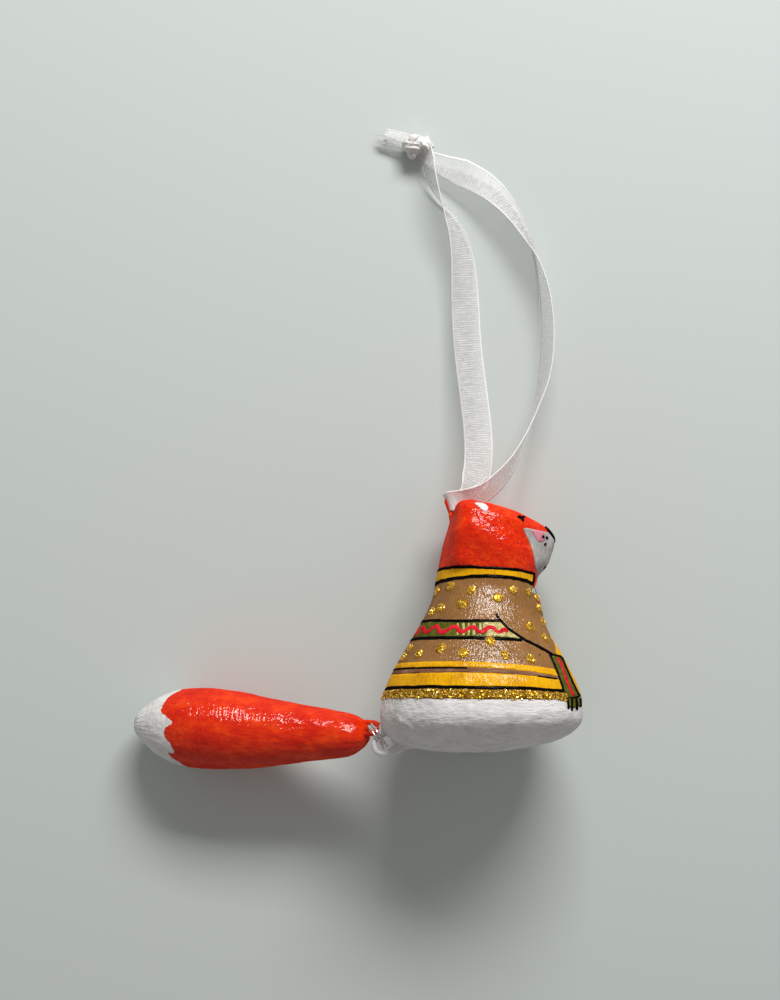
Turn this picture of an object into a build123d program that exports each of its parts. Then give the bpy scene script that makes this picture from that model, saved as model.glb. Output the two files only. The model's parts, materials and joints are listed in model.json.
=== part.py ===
from build123d import *
import math
import os

# Hanging papier-mache fox with a loose tail, lying on its left side, in millimetres and degrees.
# The fox is drawn upright (x to the nose, y to its left, z up) and then laid down.

# Body, below the neck
BASE_DEPTH = 50.6
BASE_WIDTH = 46.0
BASE_RISE = 9.2
BASE_SQUARENESS = 2.4
BASE_SETBACK = 3.6
NECK_HEIGHT = 44.5
NECK_DEPTH = 25.8
NECK_WIDTH = 25.0
NECK_LEAN = 1.9
CHEST_HOLLOW = 1.4
WALL = 2.2

# Head, above the neck
CHEEK_HEIGHT = 55.5
CHEEK_DEPTH = 27.2
CHEEK_WIDTH = 25.6
CHEEK_LEAN = 5.6
FACE_PITCH = 17.0
SNOUT_TAPER = 0.36
CROWN_RISE = 5.6
CROWN_SQUARENESS = 2.5
EAR_LENGTH = 10.4
EAR_THICKNESS = 7.0
EAR_SPREAD = 14.5
EAR_SETBACK = 7.6
EAR_RISE = 0.9

# Wire eyes: staples of painted wire, pushed into the pulp
EYE_WIRE = 1.1
EYE_LEG = 9.0
EYE_FIT = 0.05
HANGING_EYE_HOLE = 2.6
HANGING_EYE_LEAN = 110.0
HANGING_EYE_RISE = 4.25
HANGING_EYE_INSET = -0.25
REAR_EYE_HOLE = 3.5
REAR_EYE_LEAN = 215.0
REAR_EYE_RISE = 1.8
REAR_EYE_INSET = 0.8
REAR_BOSS_REACH = 2.1
REAR_BOSS_LENGTH = 5.0
REAR_BOSS_COVER = 0.75
REAR_BOSS_FLARE = 4.0
TAIL_EYE_HOLE = 3.8
TAIL_EYE_ROLL = -62.0
TAIL_EYE_REACH = 0.5
TAIL_EYE_OFFSET = 2.0
PLUG_DIAMETER = 9.0
PLUG_COVER = 1.0
PLUG_FIT = 0.05

# Split ring between the rear eye and the tail
RING_DIAMETER = 7.2
RING_WIRE = 0.55
RING_GAP = 0.45
RING_TURNS = 2
RING_STEP_OVER = 60.0
RING_SEAM = -100.0
RING_LEAN = 125.0
RING_SWAY = 0.4
RING_HOOK = -40.0
LINK_GAP = 0.3
HOOK_SHIFT = 0.5

# Tail
TAIL_LENGTH = 62.1
TAIL_DIAMETER = 20.4
TAIL_NOSE = 16.7
TAIL_NOSE_SQUARENESS = 1.65
TAIL_NECK_DIAMETER = 12.6
TAIL_NECK_LENGTH = 8.0
TAIL_NECK_SQUARENESS = 2.0
TAIL_NECK_LIFT = 1.5
TAIL_NECK_BEND = 14.0
TAIL_HEADING = 178.8

# Ribbon, gathered where it goes through the hanging eye
RIBBON_WIDTH = 7.3
RIBBON_THICKNESS = 0.4
RIBBON_LEAN = 55.0
RIBBON_GATHER = 1.4
RIBBON_FOLD = 0.6
RIBBON_GAP = 0.4
KNOT_LENGTH = 8.4
KNOT_WIDTH = 6.0
KNOT_PLACE = (-9.6, 94.8, 3.1)
KNOT_HEADING = 150.0

# Ribbon route: east and north of its origin, height over the table, roll, share of the full width
RIBBON_ORIGIN = (-0.15, -1.66)
FRONT_LEG = [
    (4.1, 3.3, 14.0, 10, 0.6),
    (6.9, 4.7, 13.2, 16, 0.9),
    (11.8, 7.8, 11.6, 34, 1),
    (16.1, 13.1, 9.3, 52, 1),
    (19.4, 19.2, 7.4, 78, 1),
    (21.8, 26.0, 6.2, 94, 1),
    (23.8, 32.8, 5.4, 106, 1),
    (24.8, 40.2, 4.8, 112, 1),
    (24.9, 48.3, 4.4, 112, 1),
    (24.2, 56.4, 4.2, 104, 1),
    (22.7, 63.8, 4.0, 90, 1),
    (19.7, 70.9, 3.9, 66, 1),
    (15.5, 77.7, 3.7, 48, 1),
    (9.8, 84.0, 3.4, 24, 1),
    (2.4, 87.9, 3.8, 0, 1),
    (-3.6, 89.8, 4.9, 0, 0.8),
    (-8.4, 93.0, 4.1, 0, 0.5),
]
BACK_LEG = [
    (2.8, 4.9, 10.9, 14, 0.6),
    (4.4, 7.3, 10.2, 10, 0.9),
    (5.9, 12.2, 9.0, 2, 1),
    (6.3, 19.2, 7.4, 0, 1),
    (5.5, 29.2, 5.6, 0, 1),
    (4.0, 40.8, 4.0, 0, 1),
    (3.4, 52.4, 3.0, 4, 1),
    (3.0, 62.9, 2.8, 27, 1),
    (1.8, 70.2, 3.2, 46, 1),
    (-0.5, 76.1, 3.9, 62, 1),
    (-3.7, 81.0, 4.2, 90, 1),
    (-5.9, 87.2, 2.7, 138, 0.45),
    (-8.0, 93.2, 2.2, 158, 0.4),
]
UPPER_END = [
    (-11.0, 95.6, 3.4, 0, 0.4),
    (-14.8, 97.5, 2.8, 10, 0.55),
    (-18.0, 98.6, 2.2, 20, 0.5),
]
LOWER_END = [
    (-11.2, 94.2, 2.4, 0, 0.4),
    (-15.9, 95.3, 1.5, -8, 0.55),
    (-19.8, 96.1, 1.2, -12, 0.62),
]

# Slices and steps of the curved forms
END_ANGLE = 12.0
SECTION_POINTS = 16
BASE_RINGS = 5
FLANK_RINGS = 6
HEAD_RINGS = 4
CROWN_RINGS = 4
TAIL_STEPS = 6
WRAP_STEPS = 3
RUN_STEPS = 3
CORNER_SHARE = 0.45
GAP_STEPS = 240


def turned(heading, length=1.0):
    """Point at a heading in the xz plane of the upright fox."""
    return Vector(math.cos(math.radians(heading)), 0, math.sin(math.radians(heading))) * length


def rounded(angle, squareness):
    """Share of a rounded end's radius, and of its height, at an angle round it."""
    angle = math.radians(angle)
    return math.sin(angle) ** (2 / squareness), math.cos(angle) ** (2 / squareness)


def egg_section(centre, depth, width, taper, pitch):
    """Egg-shaped slice, narrower to the nose by its taper, dipping forward by its pitch."""
    points = []
    for step in range(SECTION_POINTS):
        angle = 2 * math.pi * step / SECTION_POINTS
        narrow = 1 - taper * math.cos(angle)
        points.append((depth / 2 * math.cos(angle), width / 2 * math.sin(angle) * narrow))
    plane = Plane(centre, x_dir=turned(-pitch), z_dir=turned(90 - pitch))
    return plane * make_face(Spline(*points, periodic=True))


def cheek_point(forward, height):
    """Point measured along the slope of the face, from the middle of the cheeks."""
    cheeks = Vector(CHEEK_LEAN, 0, CHEEK_HEIGHT)
    return cheeks + turned(-FACE_PITCH, forward) + turned(90 - FACE_PITCH, height)


def base_slices(inset):
    """Rounded underside, from its flat middle up to the widest ring of the base."""
    slices = []
    for ring in range(BASE_RINGS + 1):
        share, drop = rounded(END_ANGLE + (90 - END_ANGLE) * ring / BASE_RINGS, BASE_SQUARENESS)
        centre = (-BASE_SETBACK * drop**2, 0, BASE_RISE - (BASE_RISE - inset) * drop)
        slices.append((centre, (BASE_DEPTH - 2 * inset) * share, (BASE_WIDTH - 2 * inset) * share, 0, 0))
    return slices


def flank_slices(inset):
    """Bell of the body, from the base up to the neck."""
    slices = []
    for ring in range(FLANK_RINGS):
        rise = ring / FLANK_RINGS
        swell = (1 + math.cos(math.pi * rise)) / 2
        back = (NECK_DEPTH + (BASE_DEPTH - NECK_DEPTH) * swell) / 2
        front = (NECK_DEPTH + (BASE_DEPTH - NECK_DEPTH) * swell**CHEST_HOLLOW) / 2
        width = NECK_WIDTH + (BASE_WIDTH - NECK_WIDTH) * swell
        centre = ((front - back) / 2 + NECK_LEAN * rise, 0, BASE_RISE + (NECK_HEIGHT - BASE_RISE) * rise)
        slices.append((centre, front + back - 2 * inset, width - 2 * inset, 0, 0))
    return slices


def head_slices(inset):
    """Neck and cheeks, which lean forward and narrow to the snout as they rise."""
    slices = []
    for ring in range(HEAD_RINGS + 1):
        rise = ring / HEAD_RINGS
        depth = NECK_DEPTH + (CHEEK_DEPTH - NECK_DEPTH) * rise - 2 * inset
        width = NECK_WIDTH + (CHEEK_WIDTH - NECK_WIDTH) * rise - 2 * inset
        lean = NECK_LEAN + (CHEEK_LEAN - NECK_LEAN) * rise
        centre = (lean, 0, NECK_HEIGHT + (CHEEK_HEIGHT - NECK_HEIGHT) * rise)
        slices.append((centre, depth, width, SNOUT_TAPER * rise, FACE_PITCH * rise))
    return slices


def crown_slices(inset):
    """Domed top of the head, square to the face."""
    slices = []
    for ring in range(CROWN_RINGS + 1):
        height, share = rounded((90 - END_ANGLE) * ring / CROWN_RINGS, CROWN_SQUARENESS)
        centre = cheek_point(0, (CROWN_RISE - inset) * height)
        depth = (CHEEK_DEPTH - 2 * inset) * share
        slices.append((centre, depth, (CHEEK_WIDTH - 2 * inset) * share, SNOUT_TAPER, FACE_PITCH))
    return slices


def body_form(inset):
    """Body and head as one form, its surface drawn in by an inset."""
    stretches = (base_slices(inset), flank_slices(inset) + head_slices(inset), crown_slices(inset))
    base, body, crown = (loft([egg_section(*each) for each in slices]) for slices in stretches)
    return base + body + crown


def ear(side):
    """One ear: a rounded ridge at the back of the crown."""
    upper_half = Pos(0, EAR_THICKNESS / 2) * Rectangle(EAR_LENGTH, EAR_THICKNESS)
    ridge = revolve(Ellipse(EAR_LENGTH / 2, EAR_THICKNESS / 2) & upper_half, Axis.X)
    seat = cheek_point(-EAR_SETBACK, EAR_RISE)
    return Pos(seat.X, side * EAR_SPREAD / 2, seat.Z) * Rot(0, FACE_PITCH, 0) * ridge


def loop_radius(hole):
    """Radius of the middle of an eye's wire."""
    return (hole + EYE_WIRE) / 2


def staple(hole, spread=0):
    """Wire staple about the middle of its loop, which points along x; its hole runs along z."""
    radius = loop_radius(hole)
    path = Line((-EYE_LEG, radius), (0, radius))
    path += RadiusArc((0, radius), (0, -radius), radius)
    path += Line((0, -radius), (-EYE_LEG, -radius))
    return sweep(Plane(path @ 0, z_dir=path % 0) * Circle(EYE_WIRE / 2 + spread), path)


def staple_plug(hole):
    """Lump of pulp round a staple's legs, before it is fitted to the hollow."""
    depth = EYE_LEG + PLUG_COVER
    return Pos(-depth / 2, 0, 0) * Rot(0, 90, 0) * Cylinder(PLUG_DIAMETER / 2, depth) - staple(hole, EYE_FIT)


def rear_boss():
    """Pulp drawn out of the base round the rear eye's legs, about the middle of its loop."""
    width = REAR_EYE_HOLE + 2 * EYE_WIRE + 2 * REAR_BOSS_COVER
    thickness = EYE_WIRE + 2 * REAR_BOSS_COVER
    slices = []
    for reach, flare in ((REAR_BOSS_REACH, 0), (REAR_BOSS_REACH + REAR_BOSS_LENGTH, REAR_BOSS_FLARE)):
        plane = Plane((-reach, 0, 0), x_dir=(0, 1, 0), z_dir=(-1, 0, 0))
        slices.append(plane * Ellipse((width + flare) / 2, (thickness + flare) / 2))
    return loft(slices)


def biarc(start, start_way, end, end_way):
    """Two arcs that leave and arrive along the given ways."""
    chord = end - start
    ways = start_way + end_way
    spread = 2 * (1 - start_way.dot(end_way))
    lead = (math.sqrt(chord.dot(ways) ** 2 + spread * chord.dot(chord)) - chord.dot(ways)) / spread
    first = start + start_way * lead
    second = end - end_way * lead
    middle = (first + second) / 2
    return [TangentArc(start, middle, tangent=start_way), TangentArc(middle, end, tangent=second - first)]


def split_ring():
    """Flat turns of wire about z, each stepping over to the next near the end of its round."""
    radius = (RING_DIAMETER - RING_WIRE) / 2
    pitch = RING_WIRE + RING_GAP
    stations = []
    for turn in range(RING_TURNS):
        level = (turn - (RING_TURNS - 1) / 2) * pitch
        round_end = 360 - RING_STEP_OVER
        stations += [(RING_SEAM + 360 * turn + round_end * quarter / 4, level) for quarter in range(5)]
    path = Curve()
    places = [Vector(radius, 0, level).rotate(Axis.Z, angle) for angle, level in stations]
    ways = [Vector(0, 1, 0).rotate(Axis.Z, angle) for angle, level in stations]
    for start, start_way, end, end_way in zip(places, ways, places[1:], ways[1:]):
        path += biarc(start, start_way, end, end_way)
    points = [path @ (step / GAP_STEPS) for step in range(GAP_STEPS + 1)]
    apart = GAP_STEPS // (2 * RING_TURNS)
    gaps = [(here - there).length for at, here in enumerate(points) for there in points[at + apart:]]
    print("split ring, least gap to itself", round(min(gaps) - RING_WIRE, 3))
    return sweep(Plane(path @ 0, z_dir=path % 0) * Circle(RING_WIRE / 2), path)


def tail_end(length, diameter, squareness):
    """Distances from one end of the tail, with its radius there, from the end to its full diameter."""
    points = []
    for step in range(TAIL_STEPS + 1):
        share, fall = rounded(END_ANGLE + (90 - END_ANGLE) * step / TAIL_STEPS, squareness)
        points.append((length * (1 - fall), diameter / 2 * share))
    return points


def tail_outline():
    """Distances from the thin end of the tail, with its radius there."""
    neck = tail_end(TAIL_NECK_LENGTH, TAIL_NECK_DIAMETER, TAIL_NECK_SQUARENESS)
    nose = tail_end(TAIL_NOSE, TAIL_DIAMETER, TAIL_NOSE_SQUARENESS)
    return neck + [(TAIL_LENGTH - reach, radius) for reach, radius in reversed(nose)]


def tail_form():
    """Moulded tail about x, its thin end near the origin, a little lifted, and its tip away from it."""
    slices = []
    for reach, radius in tail_outline():
        lift = TAIL_NECK_LIFT * max(0.0, 1 - reach / TAIL_NECK_BEND) ** 2
        slices.append(Plane((-reach, lift, 0), x_dir=(0, 1, 0), z_dir=(-1, 0, 0)) * Circle(radius))
    return loft(slices)


def ribbon_route(stations, name):
    """Straight runs and tangent arcs through the stations, each arc as large as its runs allow."""
    points = [Vector(*station[:3]) for station in stations]
    radii = []
    for before, here, after in zip(points, points[1:], points[2:]):
        turn = math.radians((here - before).get_angle(after - here))
        radii.append(CORNER_SHARE * min((here - before).length, (after - here).length) / math.tan(turn / 2))
    path = FilletPolyline(*points, radius=radii)
    print(name, "length", round(path.length, 1), "radii", [round(radius, 1) for radius in radii])
    return path


def ribbon_slices(stations, name):
    """Flat slices of ribbon along its route, rolled and as wide as the stations say."""
    path = ribbon_route(stations, name)
    runs = len(stations) - 1
    slices = []
    for step in range(1, runs * RUN_STEPS + 1):
        run = min((step - 1) // RUN_STEPS, runs - 1)
        share = step / RUN_STEPS - run
        reach = sum(run_length(stations, each) for each in range(run)) + share * run_length(stations, run)
        place = reach / sum(run_length(stations, each) for each in range(runs))
        roll, width = (stations[run][at] * (1 - share) + stations[run + 1][at] * share for at in (3, 4))
        section = Rectangle(RIBBON_WIDTH * width, RIBBON_THICKNESS)
        way = path % place
        across = way.cross(Vector(0, 0, 1)).normalized().rotate(Axis((0, 0, 0), way), roll)
        slices.append(Plane(path @ place, x_dir=across, z_dir=way) * section)
    return slices


def run_length(stations, run):
    """Length of one run of a route."""
    return (Vector(*stations[run + 1][:3]) - Vector(*stations[run][:3])).length


def ribbon_wrap(side):
    """Gathered slices in the eye, half way round its wire, to the upper (1) or lower (-1) face."""
    reach = EYE_WIRE / 2 + RIBBON_GAP + RIBBON_FOLD / 2
    strand = loop_radius(HANGING_EYE_HOLE)
    slices = []
    for step in range(WRAP_STEPS):
        angle = math.radians(90 * step / (WRAP_STEPS - 1))
        place = Vector(strand - reach * math.cos(angle), 0, side * reach * math.sin(angle))
        way = Vector(math.sin(angle), 0, side * math.cos(angle))
        plane = Plane(place, x_dir=(0, 1, 0), z_dir=way)
        slices.append(plane * Rectangle(RIBBON_GATHER, RIBBON_FOLD))
    return slices


def knot():
    """Overhand knot, pulled together to a lump."""
    upper_half = Pos(0, KNOT_WIDTH / 2) * Rectangle(KNOT_LENGTH, KNOT_WIDTH)
    return revolve(Ellipse(KNOT_LENGTH / 2, KNOT_WIDTH / 2) & upper_half, Axis.X)


# Fox, upright
outer = body_form(0) + ear(1) + ear(-1)
hollow = body_form(WALL)
hanging_place = cheek_point(HANGING_EYE_INSET - CHEEK_DEPTH / 2, HANGING_EYE_RISE)
rear_place = Vector(REAR_EYE_INSET - BASE_DEPTH / 2, 0, REAR_EYE_RISE)
hanging_frame = Location(Plane(hanging_place, x_dir=turned(HANGING_EYE_LEAN), z_dir=(0, -1, 0)))
rear_frame = Location(Plane(rear_place, x_dir=turned(REAR_EYE_LEAN), z_dir=(0, -1, 0)))
leg_holes = [hanging_frame * staple(HANGING_EYE_HOLE, EYE_FIT), rear_frame * staple(REAR_EYE_HOLE, EYE_FIT)]
shell = outer + rear_frame * rear_boss() - hollow - leg_holes
inside = body_form(WALL + PLUG_FIT)
fox = {
    "body_shell_left": split(shell, Plane.XZ, Keep.BOTTOM),
    "body_shell_right": split(shell, Plane.XZ, Keep.TOP),
    "hanging_eye": hanging_frame * staple(HANGING_EYE_HOLE),
    "hanging_eye_plug": hanging_frame * staple_plug(HANGING_EYE_HOLE) & inside,
    "rear_eye": rear_frame * staple(REAR_EYE_HOLE),
    "rear_eye_plug": rear_frame * staple_plug(REAR_EYE_HOLE) & inside,
}

# Split ring, hung on the rear eye with its plane square to the wire there
ring_radius = (RING_DIAMETER - RING_WIRE) / 2
ring_slack = ring_radius - RING_WIRE / 2 - EYE_WIRE / 2 - LINK_GAP
ring_drop = math.sqrt(ring_slack**2 - RING_SWAY**2)
ring_out = turned(RING_LEAN)
ring_up = Vector(0, -1, 0)
ring_place = rear_place + ring_out * (loop_radius(REAR_EYE_HOLE) + RING_SWAY) - ring_up * ring_drop
ring_frame = Location(Plane(ring_place, x_dir=ring_out, z_dir=ring_out.cross(ring_up)))
hook = (ring_frame * Pos(Vector(ring_radius, 0, 0).rotate(Axis.Z, RING_HOOK))).position
fox["split_ring"] = ring_frame * split_ring()

# Laid on its left side, until the base and the head both touch
cheek_turn = (1 - math.sqrt(1 + 8 * SNOUT_TAPER**2)) / (4 * SNOUT_TAPER)
cheek_half = CHEEK_WIDTH / 2 * math.sqrt(1 - cheek_turn**2) * (1 - SNOUT_TAPER * cheek_turn)
cheek_top = cheek_point(CHEEK_DEPTH / 2 * cheek_turn, 0).Z
lay_tilt = math.degrees(math.atan2(BASE_WIDTH / 2 - cheek_half, cheek_top - BASE_RISE))
turn_over = Rot(-90 - lay_tilt, 0, 0)
lift = -min((turn_over * fox[side]).bounding_box().min.Z for side in ("body_shell_left", "body_shell_right"))
lay = Pos(0, 0, lift) * turn_over
nodes = {name: lay * solid for name, solid in fox.items()}


def laid(point):
    """Place on the table of a point of the upright fox."""
    return (lay * Pos(point)).position


def table_slope(reach, radius):
    """Slope at which one ring of the tail comes down to the table."""
    return math.asin(hook_place.Z / math.hypot(reach, radius)) - math.atan2(radius, reach)


# Tail, from the ring down to the table
hook_place = laid(hook)
tail_start = TAIL_EYE_REACH + HOOK_SHIFT
tail_slope = min(table_slope(tail_start + reach, radius) for reach, radius in tail_outline()[TAIL_STEPS + 1:])
tail_frame = Pos(hook_place) * Rot(0, 0, TAIL_HEADING - 180) * Rot(0, -math.degrees(tail_slope), 0)
eye_frame = tail_frame * Pos(-HOOK_SHIFT, 0, 0) * Rot(TAIL_EYE_ROLL, 0, 0)
nodes["tail_eye"] = eye_frame * staple(TAIL_EYE_HOLE)
tail_place = tail_frame * Pos(-tail_start, -TAIL_EYE_OFFSET, 0)
nodes["tail_core"] = tail_place * tail_form() - eye_frame * staple(TAIL_EYE_HOLE, EYE_FIT)

# Ribbon, from inside the hanging eye to the knot
eye_place = laid(hanging_place)


def on_table(station):
    """Station of the ribbon, whose origin is measured from the hanging eye."""
    east = eye_place.X + RIBBON_ORIGIN[0] + station[0]
    north = eye_place.Y + RIBBON_ORIGIN[1] + station[1]
    return (east, north, *station[2:])


wrap_frame = lay * Location(Plane(hanging_place, x_dir=turned(RIBBON_LEAN), z_dir=(0, -1, 0)))
for name, side, stations in (("ribbon_front_leg", 1, FRONT_LEG), ("ribbon_back_leg", -1, BACK_LEG)):
    wrap = [wrap_frame * each for each in ribbon_wrap(side)]
    start = wrap[-1].center()
    gathered = (start.X, start.Y, start.Z, 0, RIBBON_GATHER / RIBBON_WIDTH)
    route = [gathered] + [on_table(station) for station in stations]
    nodes[name] = loft(wrap + ribbon_slices(route, name), ruled=True)
ends = [[on_table(station) for station in route] for route in (UPPER_END, LOWER_END)]
nodes["ribbon_ends"] = Compound([loft(ribbon_slices(end, "ribbon end"), ruled=True).solid() for end in ends])
nodes["ribbon_knot"] = Pos(on_table(KNOT_PLACE)) * Rot(0, 0, KNOT_HEADING) * knot()

# Origin under the middle of everything but the ribbon
boxes = [solid.bounding_box() for name, solid in nodes.items() if not name.startswith("ribbon")]
low = [min(tuple(box.min)[at] for box in boxes) for at in range(3)]
high = [max(tuple(box.max)[at] for box in boxes) for at in range(3)]
centre = Pos(-(low[0] + high[0]) / 2, -(low[1] + high[1]) / 2, -low[2])
os.makedirs("parts", exist_ok=True)
for name, solid in nodes.items():
    export_step(centre * solid, f"parts/{name}.step")
for name, place in (("ring swing", rear_place), ("tail swing", hook), ("ribbon swing", hanging_place)):
    print(name, "at", [round(value, 3) for value in (centre * Pos(laid(place))).position])
print("lying tilt", round(lay_tilt, 2), "tail slope", round(math.degrees(tail_slope), 2))
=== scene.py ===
import json
import math
import random

import bmesh
import bpy
import numpy as np
from mathutils import Matrix, Vector, noise
from mathutils.bvhtree import BVHTree
from mathutils.geometry import delaunay_2d_cdt


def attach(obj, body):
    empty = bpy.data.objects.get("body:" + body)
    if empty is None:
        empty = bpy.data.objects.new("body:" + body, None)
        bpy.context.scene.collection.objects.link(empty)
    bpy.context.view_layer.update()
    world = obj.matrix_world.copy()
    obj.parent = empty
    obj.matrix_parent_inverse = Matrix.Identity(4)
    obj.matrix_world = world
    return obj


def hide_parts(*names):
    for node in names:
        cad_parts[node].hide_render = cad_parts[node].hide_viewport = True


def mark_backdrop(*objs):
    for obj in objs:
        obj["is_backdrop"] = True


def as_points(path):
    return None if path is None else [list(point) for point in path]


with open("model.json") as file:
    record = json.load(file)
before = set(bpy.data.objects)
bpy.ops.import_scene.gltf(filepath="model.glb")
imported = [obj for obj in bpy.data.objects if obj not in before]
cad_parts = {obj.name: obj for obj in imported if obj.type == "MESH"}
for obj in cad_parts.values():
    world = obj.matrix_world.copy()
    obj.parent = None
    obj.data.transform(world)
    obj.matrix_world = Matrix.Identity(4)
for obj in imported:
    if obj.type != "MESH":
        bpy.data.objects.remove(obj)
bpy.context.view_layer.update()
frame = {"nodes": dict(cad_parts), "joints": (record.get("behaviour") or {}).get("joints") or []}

# Hand-painted hanging fox on its side. Sizes are in millimetres unless a name says pixels or degrees.
MM = 0.001
NODES = frame["nodes"]
dice = random.Random(11)

# Camera, straight over the table, with its focal length in pixels of the photograph
PHOTO_WIDTH = 780
PHOTO_HEIGHT = 1000
FOCAL = 1668
SENSOR = 36.0
CAMERA = Vector((9.03, 33.5, 440.0)) * MM

# Axes of the fox, from the joint that its tail hangs on
joints = {joint["name"]: joint for joint in frame["joints"]}
REAR_EYE = Vector(joints["ring_swing"]["pos_m"])
HANGING_EYE = Vector(joints["ribbon_swing"]["pos_m"])
TAIL_HOOK = Vector(joints["tail_swing"]["pos_m"])
FRONT = Vector((1, 0, 0))
SIDE = Vector(joints["ring_swing"]["axis"]).normalized()
UP = SIDE.cross(FRONT)
REAR_EYE_DEPTH = -24.5
REAR_EYE_HEIGHT = 1.8
FOX = REAR_EYE - (FRONT * REAR_EYE_DEPTH + UP * REAR_EYE_HEIGHT) * MM
FOX_TURN = math.atan2(-UP.y, UP.z)

# Skin of the body, drawn round its shells
BODY_COLUMNS = 400
BASE_ROWS = 78
FLANK_ROWS = 104
CROWN_ROWS = 52
BASE_MIDDLE = 13.0
HEAD_MIDDLE = 51.0
HEAD_FORWARD = 4.5
NECK_START = 30.0
FACE_PITCH = 17.0
LAST_RISE = 88.0
RAY_REACH = 90.0
BLEMISH = 0.5
BLEMISH_ROWS = 4
EVENING_ROUNDS = 3

# Heights over the base where the painted zones meet, under the collar and the hem
RED_OVER = 43.4
WHITE_UNDER = 12.8

# Paint: thickness of each coat, how far its underside is sunk, its mesh, and the arc of a degree
THIN_COAT = 0.04
COAT = 0.08
SECOND_COAT = 0.13
THICK_COAT = 0.17
RAISED_COAT = 0.22
SUNK = 0.12
PIXEL_STEP = 1.5
ARC_STEP = 0.4
DEGREE = 0.32


def fox_point(forward, aside, height):
    """Point of the upright fox: forward to the nose, aside to its right, and over its base."""
    return FOX + (FRONT * forward + SIDE * aside + UP * height) * MM


def along_fox(place):
    """How far forward, aside and over the base a place lies."""
    local = (place - FOX) / MM
    return Vector((local.dot(FRONT), local.dot(SIDE), local.dot(UP)))


def sight(across, down):
    """Way from the camera through a pixel of the photograph."""
    return Vector(((across - PHOTO_WIDTH / 2) / FOCAL, (PHOTO_HEIGHT / 2 - down) / FOCAL, -1)).normalized()


def ease(share):
    """Smooth step from 0 to 1."""
    share = min(1.0, max(0.0, share))
    return share * share * (3 - 2 * share)


def waver(*place):
    """Smooth noise about 0."""
    return noise.noise(Vector(place))


def bumps(place, *sizes):
    """Noise with bumps of one size, or of one along each axis of the upright fox."""
    sizes = sizes * 3 if len(sizes) == 1 else sizes
    return waver(*(value / size for value, size in zip(along_fox(place), sizes)))


def lumps(place, kinds):
    """Height of several kinds of bumps, each with its depth and its sizes."""
    return sum(depth * bumps(place, *sizes) for depth, *sizes in kinds)


def spun(way, angle, axis):
    """Way turned about an axis."""
    way = way.copy()
    way.rotate(Matrix.Rotation(angle, 3, axis))
    return way


def wheel(first, second, turn):
    """Way at an angle from a first way to a second one."""
    return first * math.cos(turn) + second * math.sin(turn)


def even_turns(count):
    """Angles of even steps round a circle."""
    return [2 * math.pi * at / count for at in range(count)]


def ring_faces(rows, columns, start=0):
    """Quads between rings of points."""
    faces = []
    for ring in range(start, start + (rows - 1) * columns, columns):
        for column in range(columns):
            after = ring + (column + 1) % columns
            faces.append([ring + column, after, after + columns, ring + column + columns])
    return faces


def closed_faces(rows, columns, start=0):
    """Quads between rings, with a fan over the first and the last ring to two more points."""
    faces = ring_faces(rows, columns, start)
    middle = start + rows * columns
    for column in range(columns):
        after = (column + 1) % columns
        faces.append([start + after, start + column, middle])
        faces.append([middle - columns + column, middle - columns + after, middle + 1])
    return faces


def add_piece(name, points, faces, *shaders):
    """Smooth mesh piece with its faces turned outward."""
    mesh = bpy.data.meshes.new(name)
    mesh.from_pydata([tuple(point) for point in points], [], faces)
    work = bmesh.new()
    work.from_mesh(mesh)
    bmesh.ops.recalc_face_normals(work, faces=work.faces)
    work.to_mesh(mesh)
    work.free()
    mesh.shade_smooth()
    for shader in shaders:
        mesh.materials.append(shader)
    piece = bpy.data.objects.new(name, mesh)
    bpy.context.collection.objects.link(piece)
    return piece


def dress(piece, body, slot, *nodes):
    """Piece that rides on a body and stands for nodes, which it hides; its slot is not used."""
    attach(piece, body)
    if nodes:
        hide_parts(*nodes)
    return piece


class Skin:
    """Surface that paint and glitter are laid on, at a level over the table."""

    def __init__(self, level, *pieces):
        self.level = level
        points, faces = [], []
        for mesh in (piece.data for piece in pieces):
            start = len(points)
            points += [vertex.co.copy() for vertex in mesh.vertices]
            faces += [[start + at for at in polygon.vertices] for polygon in mesh.polygons]
        self.tree = BVHTree.FromPolygons(points, faces)

    def cast(self, start, way):
        """Place and outward normal where a ray meets the surface."""
        place, normal, *_ = self.tree.ray_cast(start, way)
        return place and (place, normal)

    def nearest(self, point):
        """Place and outward normal nearest to a point."""
        return self.tree.find_nearest(point)[:2]

    def seen(self, across, down):
        """What a pixel of the photograph shows, or the edge nearest to it."""
        way = sight(across, down)
        return self.cast(CAMERA, way) or self.nearest(CAMERA + way * ((self.level - CAMERA.z) / way.z))

    def around(self, arc, height):
        """Place at an arc from the front, over its right side, and at a height over the base."""
        way = wheel(FRONT, SIDE, math.radians(arc / DEGREE))
        return self.cast(fox_point(spine(height), 0, height) + way * RAY_REACH * MM, -way)


# Finishes


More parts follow.
